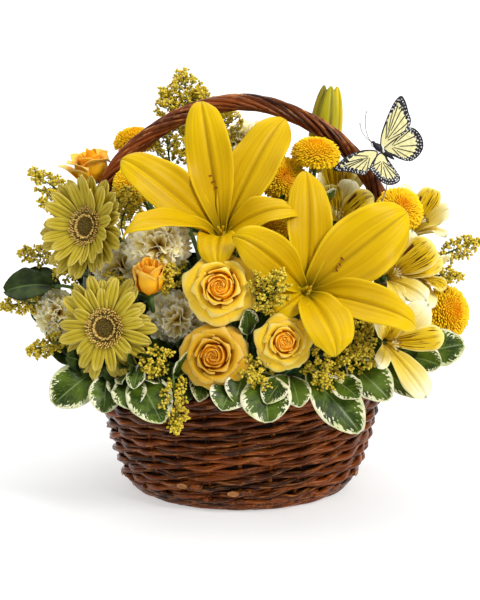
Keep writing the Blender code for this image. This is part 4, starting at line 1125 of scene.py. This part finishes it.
def fill_greens():
    """Dark leaves between the flowers and round the back hide the foam, as a florist sets them."""
    groups = Bits(), Bits(), Bits()
    local = np.random.default_rng(91)
    for k in range(430):
        bits = groups[k % 3]
        d = aim((k * 137.5) % 360.0, 8 + 68 * ((k * 0.618) % 1.0) ** 1.1)
        deep = k >= 150
        near, span = (76, 44) if deep else (98, 22) if -d[1] > 0.3 else (108, 50)
        reach = (near + span * (k * 0.414 % 1.0)) * (1.0 + 0.14 * abs(d[0]))
        root = FOCUS + d * reach
        if root[2] < 112:
            root[2] = 112 + local.uniform(0, 10)
        turn = unit(local.normal(0, 0.5, 3) + d * 0.9 + vec(0, 0, 0.2))
        tip = root + turn * (local.uniform(30, 46) if deep else local.uniform(22, 36))
        if tip[2] > 266 or abs(tip[1]) > 126 or (abs(tip[0]) < 46 and abs(tip[1]) < 20 and tip[2] > 250):
            continue
        leaf(bits, root, tip, unit(d + local.normal(0, 0.5, 3)), local.uniform(9, 15), 3, 500 + k,
             m=2 if (k % 4 == 0 and not deep) else 0, wavy=0.7)
        bits.twig([FOCUS + d * 50, FOCUS + d * reach * 0.6, root - turn * 6, root + turn], 0.75)
    bits = groups[429 % 3]
    for root, tip in DARK_LEAVES:
        r = vec(*root)
        leaf(bits, root, tip, (0.1, -1, 0.3), 12.5, 3, root[0] + 900, wavy=0.7)
        bits.tube([FOCUS + (r - FOCUS) * 0.5, r, r + (vec(*tip) - r) * 0.1], 0.75, 5, m=1)
    for k in range(34):
        bits = groups[k % 3]
        azimuth = 62 + 236 * k / 33.0
        if abs(azimuth % 180 - 90) < 7:
            continue
        d = aim(azimuth, 0)
        root = d * 60 + vec(0, 0, 117 + 4 * (k % 2))
        tip = d * (100 + 8 * (k % 3)) + vec(0, 0, 105 + 5 * (k % 2)) + np.cross(d, UP) * local.uniform(-12,
                12)
        leaf(bits, root, tip, d * 0.5 + UP, local.uniform(13, 16), 6, 1300 + k, m=2 if k % 2 else 0)
        bits.tube([root - d * 12, root, root + unit(tip - root) * 3], 0.75, 5, m=1)
    for k, x in enumerate((-46, -32, -18, -4, 10)):
        root, tip = vec(x * 0.9, -88, 115), vec(x, -131, 99 + 3 * (k % 2))
        leaf(bits, root, tip, (0.2, -0.8, 1.0), 11.0, 7, 1400 + k, m=2 if k % 2 else 0)
        bits.tube([root + vec(0, 14, 0), root, root + (tip - root) * 0.1], 0.75, 5, m=1)
    for bits, side in zip(groups, ("a", "b", "c")):
        bits.build("filler_greens_" + side, [FILLER, STEM, LEAF], (), "leaf", 0.35)


fill_greens()


def back_fill():
    bits = Bits()
    for k, (base, tip, width) in enumerate((
            ((-90, 70, 200), (-104, 92, 224), 15), ((70, 66, 226), (84, 80, 256), 15),
            ((0, 96, 190), (0, 124, 208), 16), ((-30, 66, 250), (-32, 80, 276), 14),
            ((110, 70, 170), (134, 90, 184), 14), ((-118, 60, 150), (-142, 78, 160), 14),
            ((0, 100, 130), (4, 128, 138), 15), ((-20, 60, 130), (-30, 100, 160), 12))):
        spray(bits, base, tip, width, 700 + k, 1.4)
        b = vec(*base)
        foot = FOCUS + unit(b - FOCUS) * 50
        bits.twig([foot, foot + (b - foot) * 0.4, b - unit(vec(*tip) - b) * 8, b], 0.9)
    bits.build("solidago_behind", [SOLIDAGO, STEM], (), "solidago")


back_fill()


# ---------------------------------------------------------------- butterfly
def wing_cell_material():
    n = Nodes("butterfly_cell", 0.5, 0.3)
    n.first(n.ramp(n.grain((8.0, 8.0, 1.0)), 0.3, 0.7), (214, 206, 140), (236, 230, 178))
    return n.done()


CELL = wing_cell_material()
BLACK = spotted("butterfly_black", (14, 13, 18), (36, 34, 42), 0.5)
WHITE = spotted("butterfly_white", (240, 240, 236), (220, 222, 220), 0.5)


def closed_curve(points, count):
    """Smooth closed outline through the given points."""
    p = np.array(points, float)
    k = len(p)
    out = []
    for i in range(k):
        a, b, c, d = p[(i - 1) % k], p[i], p[(i + 1) % k], p[(i + 2) % k]
        for t in np.linspace(0, 1, count // k, endpoint=False):
            out.append(0.5 * (2 * b + (c - a) * t + (2 * a - 5 * b + 4 * c - d) * t * t
                              + (3 * b - a - 3 * c + d) * t ** 3))
    return np.array(out)


# Wing outlines in millimetres right and up of the thorax, and the way each wing leans back
WINGS = (("right", ((0.8, 0.8), (1.2, 11), (5.5, 24), (11, 35.5), (16.5, 41), (20, 36.5), (22.5, 28),
        (24.5, 20.5),
                    (20, 12.5), (10, 5.5), (3.5, 0.5)), (4.5, 5.5), (16.5, 41), (0.22, 0.05), 3.4, 1),
         ("right", ((2.5, 0), (12, 8), (22, 14.8), (28.5, 14), (34, 7), (35, -1), (31, -7.5),
         (24.5, -10.8), (16, -8.5),
                    (6.5, -3.5)), (9, 1.0), (34, 0), (0.30, 0.05), 4.2, 0),
         ("left", ((-4, -1.6), (-14, -0.6), (-26, -4), (-36.5, -12), (-35.8, -14.8), (-28, -15.6),
         (-19.5, -18), (-13.5, -19.6),
                   (-8, -14.8), (-2.5, -5)), (-8, -5.5), (-36.5, -12.5), (0.52, 0.10), 3.4, 1),
         ("left", ((-0.8, -4), (-6.5, -11.4), (-7.4, -16.3), (-3.2, -21), (2.5, -26), (8.2, -27.6),
         (13.8, -26), (15.5, -22),
                   (10.6, -14.6), (3.4, -5)), (1.5, -9.5), (8.5, -27), (0.10, 0.40), 4.0, 0))


def wing(bits, root, outline, hub, apex, lean, margin, fore):
    """One wing: cream cells, a black margin with white spots, and black raised veins."""
    curve = closed_curve(outline, 132)
    hub, apex = np.array(hub), np.array(apex)
    span = np.linalg.norm(curve, axis=1).max()

    def place(p, up):
        p = np.asarray(p, float)
        bow = 1.2 * np.sin(np.clip(np.linalg.norm(p, axis=-1) / span, 0, 1) * np.pi)
        y = lean[0] * p[..., 0] + lean[1] * p[..., 1] - bow - up
        return root + np.stack([p[..., 0], y, p[..., 1]], -1)

    away = curve - hub
    dist = np.linalg.norm(away, axis=1)
    near_root = np.linalg.norm(curve, axis=1)
    wide = margin * np.clip((near_root - 5) / (span * 0.5), 0.16, 1.0)
    wide = wide * (1.0 + (1.6 if fore else 0.3) * np.exp(-(np.linalg.norm(curve - apex,
            axis=1) / 9.0) ** 2))
    wide = np.minimum(wide, dist * 0.6)
    k = np.arange(len(curve))
    wide = wide * (1.0 + 0.16 * np.sin(k * 0.95) * (near_root > 12))
    inner = hub + away * ((dist - wide) / dist)[:, None]
    steps = np.linspace(0, 1, 8)
    fill = hub + (inner - hub)[:, None] * steps[None, :, None]
    bits.grid(place(fill, np.zeros(fill.shape[:2])), s=0.5, t=steps[None], m=0, wrap=True)
    band = inner[:, None] + (curve - inner)[:, None] * np.linspace(0, 1, 4)[None, :, None]
    lift = np.broadcast_to(np.array([0.0, 0.22, 0.22, 0.0]), band.shape[:2])
    bits.grid(place(band, lift), m=1, wrap=True)
    bits.tube(place(curve, np.zeros(len(curve))), 0.48, 5, m=1, closed=True)
    far = np.nonzero(near_root > span * 0.45)[0]
    for j in range(7):
        i = far[int((j + 0.5) / 7 * len(far))]
        start = hub + (inner[i] - hub) * (0.36 if j % 2 else 0.12)
        path = start + (curve[i] - start) * np.linspace(0, 1, 8)[:, None]
        for offset in (0.12, -0.12):
            bits.tube(place(path, np.full(8, offset)), np.linspace(0.30, 0.50, 8), 5, m=1)
    local = np.random.default_rng(int(span * 10))
    for ring, size, step in ((0.30, 0.62, 6), (0.74, 0.52, 4)):
        for i in range(0, len(curve), step):
            if wide[i] < margin * 0.7:
                continue
            c = inner[i] + (curve[i] - inner[i]) * (ring + local.uniform(-0.06, 0.06))
            for offset in (0.30, -0.30):
                p = place(c[None], np.array([offset]))[0]
                depth = vec(0, 0.15, 0)
                bits.tube([p - depth, p + depth], size * local.uniform(0.75, 1.25), 7, m=2,
                        start=vec(1, 0, 0))
    if fore:
        for share, size in ((0.50, 1.5), (0.66, 1.2), (0.40, 1.1)):
            i = int(np.argmin(np.linalg.norm(curve - apex, axis=1))) + int(20 * (share - 0.5))
            c = curve[i] + (hub - curve[i]) * (0.10 + 0.16 * share)
            p = place(c[None], np.array([0.25]))[0]
            bits.tube([p - vec(0, 0.2, 0), p + vec(0, 0.2, 0)], size, 8, m=0, start=vec(1, 0, 0))


def butterfly():
    head, tail = vec(105, -46, 293), vec(122, -44, 280)
    ahead = unit(head - tail)
    root = head + (tail - head) * 0.38
    for part in ("left", "right"):
        bits = Bits()
        for name, outline, hub, apex, lean, margin, fore in WINGS:
            if name == part:
                wing(bits, root + vec(0, 0 if fore else 0.7, 0), outline, hub, apex, lean, margin, fore)
        bits.build("butterfly_" + part, [CELL, BLACK, WHITE], ["butterfly_wings_" + part], "butterfly_wing")
    bits = Bits()
    t = np.linspace(0, 1, 26)
    line = tail - ahead * 1.5 + (head - tail + ahead * 2.0) * t[:, None]
    prof = np.interp(t, [0, 0.1, 0.35, 0.52, 0.58, 0.70, 0.82, 0.87, 0.93, 1.0],
                     [0.5, 1.3, 2.0, 1.9, 2.5, 2.9, 2.3, 1.5, 2.2, 1.2])
    prof = prof * (1 + 0.08 * np.sin(t * 70) * (t < 0.55))
    bits.tube(line, prof, 12, m=0)
    u, v = basis(ahead)
    for k in range(26):
        a = k * PHI
        i = 12 + (k * 5) % 13
        e = wheel(ahead, a)
        p = line[i] + e * prof[i] * 0.95
        bits.tube([p - e * 0.2, p + e * 0.55], 0.72, 7, m=1)
    up = UP
    for tip, mid in ((vec(100, -50, 318.0), vec(97.5, -49, 303)), (vec(95, -52, 309), vec(96, -50, 299))):
        ant = bezier([head, head + ahead * 3, mid, tip], 12)
        bits.tube(ant, 0.28, 5, m=0)
        bits.tube([tip - unit(tip - mid) * 1.6, tip, tip + unit(tip - mid) * 0.4], [0.25, 0.5, 0.3], 6, m=0)
    for k in range(6):
        sgn = 1 if k % 2 else -1
        p = line[16 + k // 2 * 2]
        knee = p - up * 2.6 + u * sgn * 2.2
        bits.tube([p, knee, knee - up * 2.0 + u * sgn * 0.6 + ahead * 0.8], 0.16, 4, m=0)
    bits.build("butterfly_trunk", [BLACK, WHITE], ["butterfly_body"], "butterfly_body")
    bits = Bits()
    top = tail + (head - tail) * 0.30 - up * 1.2
    stem(bits, top, unit(vec(-0.25, 0.1, 1)), 0.55, 0, vec(104, -62, 245))
    n = Nodes("pick_wire", 0.3, 0.5)
    n.set("Metallic", 0.9)
    n.first(n.ramp(n.noise(200.0), 0.4, 0.6), (150, 154, 150), (186, 190, 188))
    bits.build("butterfly_pick", [n.done()], ["butterfly_wire"], "wire")


butterfly()


# ---------------------------------------------------------------- willow
def willow_material(name, dark, mid, light):
    n = Nodes(name, 0.30, 0.17)
    grain = n.grain((3.0, 60.0, 17.0), 5.0, 0.65)
    n.first(n.ramp(n.grain((0.4, 7.0, 31.0), 2.0), 0.30, 0.70), dark, mid)
    n.over(n.ramp(grain, 0.50, 0.72), light, 0.55)
    n.over(n.ramp(n.noise(90.0, 3.0), 0.56, 0.70), dark, 0.6)
    n.set("Roughness", n.math("ADD", n.math("MULTIPLY", grain, 0.25), 0.14))
    return n.done(grain, 0.45, 0.5)


WILLOW = willow_material("willow", (24, 8, 2), (126, 58, 14), (240, 154, 72))
ROPE = willow_material("willow_handle", (46, 18, 6), (136, 66, 24), (236, 158, 92))
CUT = spotted("cut_willow", (186, 132, 76), (150, 98, 52))
# Near-black willow for sheets and cores set behind the rods so the gaps read dark: painted shade.
PAINTED_GAP_SHADE = spotted("willow_shade", (22, 11, 6), (34, 16, 8), 0.9)
STAKES = 26
WALL = ((2.0, 90.0), (9.8, 96.0), (22.0, 102.5), (50.0, 110.5), (76.0, 116.8), (91.0, 120.5), (98.0, 121.5))


def wall_radius(z):
    return np.interp(z, [p[0] for p in WALL], [p[1] for p in WALL])


def rod(bits, local, r, angle, z, radius, sides=8, closed=False):
    bits.tube(circle(r, angle, z), radius, sides, r=local.uniform(), closed=closed)


def weave():
    """The wall: rods climbing in a spiral, in front of one stake and behind the next."""
    bits = Bits()
    local = np.random.default_rng(4)
    rods, pitch, low, high = 14, 5.0, 11.0, 93.5
    turns = (high - low) / (rods * pitch)
    knots = np.arange(0, turns * STAKES + 3)
    for j in range(rods):
        along = np.linspace(0, turns * TAU, int(turns * STAKES * 14))
        a = along - TAU * j / rods
        z = low + rods * pitch * along / TAU
        phase = STAKES / 2 * a + math.pi * j
        swing = np.arcsin(0.95 * np.sin(phase)) / 1.2532
        dz, dr = (np.interp(along / TAU * STAKES, knots, local.normal(0, much, len(knots)))
                  for much in (0.92, 0.35))
        pair = j % 4 == 1
        size = 1.60 if pair else local.uniform(2.10, 2.65)
        size = size + np.interp(along / TAU * STAKES, knots, local.normal(0, 0.22, len(knots)))
        r = wall_radius(z) - 2.7 + 2.6 * swing + dr
        for lift in (-1.3, 1.3) if pair else (0.0,):
            rod(bits, local, r, a, z + dz + lift + 0.25 * np.cos(2 * phase + 0.8), size, 9)
    for k in range(STAKES):
        z = np.linspace(6, 97, 14)
        rod(bits, local, wall_radius(z) - 4.4, TAU * (k + 0.5) / STAKES, z, 1.9)
    # A dark sheet behind the weave: painted shade in the gaps between the rods.
    z = np.linspace(8, 95, 12)
    angle = np.linspace(0, TAU, 120, endpoint=False)[:, None]
    bits.grid(circle(wall_radius(z) - 5.2, angle, z), m=1, wrap=True)
    bits.build("woven_wall", [WILLOW, PAINTED_GAP_SHADE], ["basket_wall"], "wicker")


weave()


# Cut rod ends that show on the outside of the wall: azimuth and height
CUT_ENDS = ((-26, 23.0), (-3, 19.0), (70, 16.0), (-75, 14.0), (140, 20.0), (200, 15.0), (250, 22.0))


def foot_and_base():
    bits = Bits()
    local = np.random.default_rng(9)
    a = np.linspace(0, TAU, 361)[:-1]
    for ph in (TAU * strand / 3 for strand in range(3)):
        rod(bits, local, 88.5 + 2.4 * np.cos(6 * a + ph), a, 5.4 + 2.0 * np.sin(6 * a + ph), 2.5,
                closed=True)
    for z, r in ((2.4, 84.5), (9.8, 94.2), (6.4, 91.8), (3.2, 88.4)):
        rod(bits, local, r + (0.5 * np.sin(7 * a + z) + 0.3 * np.sin(13 * a)), a, z, 2.3, closed=True)
    for k in range(STAKES):
        b = TAU * (k + 0.2) / STAKES + local.uniform(-0.05, 0.05)
        t = np.linspace(0, 1, 12)
        z = 2.6 + 9.0 * t ** 1.2 + local.uniform(-0.3, 0.6)
        rod(bits, local, 87.0 + 8.5 * t ** 0.7, b + 0.34 * t, z, 2.3)
    ring = np.linspace(0, TAU, 16, endpoint=False)
    for azimuth, z in CUT_ENDS:
        out = aim(azimuth, 0)
        flat = unit(np.cross(out, UP))
        p = out * (wall_radius(z) + 0.6) + UP * z
        bits.tube([p - flat * 16 - out * 2.5, p - flat * 6, p + flat * 2], 2.3, 10, r=0.5, m=0)
        oval = flat * (4.8 * np.cos(ring))[:, None] + UP * (2.2 * np.sin(ring))[:, None] - out * 0.25
        bits.grid(np.stack([p + out * 2.9 + oval * g for g in (0.02, 0.5, 0.85, 1.0)], 1), m=1, wrap=True)
    bits.build("woven_foot", [WILLOW, CUT], ["foot_wale"], "wicker")
    bits = Bits()
    rings = 16
    for k in range(rings):
        swing = 0.9 * np.cos(8 * a + math.pi * (k % 2))
        rod(bits, local, 8 + (84 - 8) * (k + 0.5) / rings, a, 3.3 + swing, 2.35, 6, True)
    for k in range(8):
        d = circle(83, TAU * k / 16, 0)
        bits.tube([UP * 4.4 - d, UP * 4.6, UP * 4.4 + d], 2.0, 6, r=local.uniform(), m=0)
    bits.build("woven_base", [WILLOW], ["basket_base"], "wicker")


foot_and_base()


def border():
    bits = Bits()
    local = np.random.default_rng(14)
    a = np.linspace(0, TAU, 481)[:-1]
    for ph in (TAU * k / 4 for k in range(4)):
        rod(bits, local, 121.4 + 3.0 * np.cos(10 * a + ph), a, 97.4 + 2.9 * np.sin(10 * a + ph),
            2.7 + 0.2 * np.sin(5 * a + ph), 9, True)
    bits.build("twisted_border", [WILLOW], ["rim_border"], "wicker")


border()


def handle():
    crown = []
    power = 2.0 / 1.8
    for i in range(41):
        b = math.pi * i / 40
        c, s = math.cos(b), math.sin(b)
        crown.append((-math.copysign(abs(c) ** power, c) * 120.0, 215.0 + 105.0 * abs(s) ** power))
    leg = [(119.4, 200.0), (119.0, 190.0), (117.0, 165.0), (114.0, 140.0), (111.0, 118.0), (107.7, 97.0),
           (104.5, 81.0), (101.0, 65.0), (95.8, 42.0)]
    pts = [(-x, z) for x, z in reversed(leg)] + crown + leg
    pts = np.array(pts)
    d = np.concatenate([[0], np.cumsum(np.linalg.norm(np.diff(pts, axis=0), axis=1))])
    k = 300
    s = np.linspace(0, d[-1], k)
    x, z = np.interp(s, d, pts[:, 0]), np.interp(s, d, pts[:, 1])
    for _ in range(6):
        x[1:-1] = (x[:-2] + 2 * x[1:-1] + x[2:]) / 4
        z[1:-1] = (z[:-2] + 2 * z[1:-1] + z[2:]) / 4
    line = np.stack([x, 0 * x, z], 1)
    tan = unit(np.gradient(line, axis=0))
    out = np.stack([-tan[:, 2], 0 * x, tan[:, 0]], 1)
    front = np.broadcast_to(vec(0, -1, 0), out.shape)
    bits = Bits()
    local = np.random.default_rng(24)
    strands = 9
    turn = TAU * s / 135.0
    for j in range(strands):
        ph = TAU * j / strands + 0.10 * np.sin(s / 37.0 + j)
        rad = 5.3 + 0.35 * np.sin(s / 23.0 + 2 * j)
        off = out * (rad * np.cos(turn + ph))[:, None] + front * (rad * np.sin(turn + ph))[:, None]
        thick = 1.85 + 0.20 * np.sin(s / 41.0 + j * 1.3)
        bits.tube(line + off, thick, 9, r=local.uniform(), m=0)
    # A dark core inside the strands: painted shade in the gaps of the twist.
    bits.tube(line, 4.2, 8, r=0.1, m=1)
    bits.build("roped_handle", [ROPE, PAINTED_GAP_SHADE], ["handle"], "handle")


handle()


# ---------------------------------------------------------------- liner and foam
def turned(bits, angle, profile, wobble):
    """A shape turned round the basket's axis from (radius, height) pairs."""
    r, z = np.array(profile).T
    bits.grid(circle(r * wobble[:, None], angle[:, None], z), wrap=True)


def inside():
    angle = np.linspace(0, TAU, 96, endpoint=False)
    bits = Bits()
    turned(bits, angle, ((0.2, 7.4), (60, 7.4), (80, 7.6), (83.4, 10), (84, 14), (84, 92), (84.6, 95),
                         (84.0, 96.2), (82.6, 95.6), (82, 93), (82, 14), (80, 10), (60, 9.4), (0.2, 9.4)),
           1 + 0.004 * np.sign(np.sin(angle * 24)))
    plastic = spotted("liner_plastic", (24, 34, 24), (38, 52, 36), 0.45, 0.4, 60.0, 3.0, 0.3, 0.7)
    bits.build("liner_dish", [plastic], ["liner"], "liner")
    n = Nodes("foam_block", 0.95, 0.2)
    pores = n.noise(900.0, 3.0)
    n.first(n.ramp(pores, 0.35, 0.65), (22, 58, 34), (52, 98, 62))
    bits = Bits()
    turned(bits, angle, ((0.2, 117.6), (30, 118), (58, 117.6), (64, 116), (67, 112.6), (68, 108), (68, 60),
                         (68, 14), (66.5, 9.8), (0.2, 9.8)), 1 + 0.006 * np.sin(angle * 7 + 1))
    bits.build("foam_block", [n.done(pores, 0.8, 0.6)], ["floral_foam"], "foam")


inside()


# ---------------------------------------------------------------- stage, light and camera
def stage():
    """A white floor that curves up into a wall behind."""
    size, back, bend, rows = 6.0, 3.0, 1.5, 24
    pts = []
    for f in (i / rows for i in range(rows + 1)):
        a = (f - 0.5) * math.pi
        y, z = ((-size + (size + back) * f * 2, 0.0) if f < 0.5
                else (back + bend * math.sin(a), bend - bend * math.cos(a)))
        pts += [(-size, y, z), (size, y, z)]
    pts += [(-size, back + bend, 6.0), (size, back + bend, 6.0)]
    faces = [(2 * i, 2 * i + 1, 2 * i + 3, 2 * i + 2) for i in range(rows + 1)]
    mesh = bpy.data.meshes.new("floor")
    mesh.from_pydata(pts, [], faces)
    mesh.polygons.foreach_set("use_smooth", [True] * len(faces))
    n = Nodes("floor_white", 0.7, 0.2)
    n.body = (0.50, 0.50, 0.50)
    n.set("Emission Color", (1.0, 1.0, 1.0))
    n.set("Emission Strength", 0.52)
    mesh.materials.append(n.done())
    obj = bpy.data.objects.new("floor", mesh)
    bpy.context.scene.collection.objects.link(obj)


stage()


def lights():
    mid = (0.0, 0.0, 0.17)
    for name, place, target, size, power, colour in (
            ("key", (1.25, -1.35, 1.6), mid, (0.7, 0.7), 41.0, (1.0, 0.98, 0.95)),
            ("fill", (-1.3, -0.9, 2.0), mid, (1.5, 1.5), 8.0, (0.97, 0.98, 1.0)),
            ("top", (-0.2, 0.2, 1.9), mid, (1.6, 1.2), 14.0, (1.0, 1.0, 1.0)),
            ("wash", (0.0, 1.7, 2.6), (0.0, 4.2, 0.2), (4.5, 2.0), 120.0, (1.0, 1.0, 1.0))):
        data = bpy.data.lights.new(name, "AREA")
        data.shape = "RECTANGLE"
        data.size, data.size_y = size
        data.energy = power
        data.color = colour
        obj = bpy.data.objects.new(name, data)
        obj.location = place
        obj.rotation_euler = (Vector(target) - Vector(place)).to_track_quat("-Z", "Y").to_euler()
        bpy.context.scene.collection.objects.link(obj)
    world = bpy.data.worlds.new("soft")
    world.use_nodes = True
    back = world.node_tree.nodes["Background"]
    back.inputs["Color"].default_value = (1.0, 1.0, 1.0, 1.0)
    back.inputs["Strength"].default_value = 0.31
    bpy.context.scene.world = world
    bpy.context.scene.view_settings.view_transform = "Standard"
    bpy.context.scene.view_settings.look = "None"


lights()


def camera():
    data = bpy.data.cameras.new("camera")
    data.sensor_fit = "VERTICAL"
    data.sensor_height = 24.0
    distance, seen = 1.8, 600 * 0.00083
    data.lens = data.sensor_height * distance / seen
    data.clip_end = 50.0
    obj = bpy.data.objects.new("camera", data)
    e = math.radians(12.0)
    target = Vector((0.0, 0.0, 0.155))
    obj.location = target + Vector((0.0, -math.cos(e), math.sin(e))) * distance
    obj.rotation_euler = (target - obj.location).to_track_quat("-Z", "Y").to_euler()
    bpy.context.scene.collection.objects.link(obj)
    bpy.context.scene.camera = obj


camera()
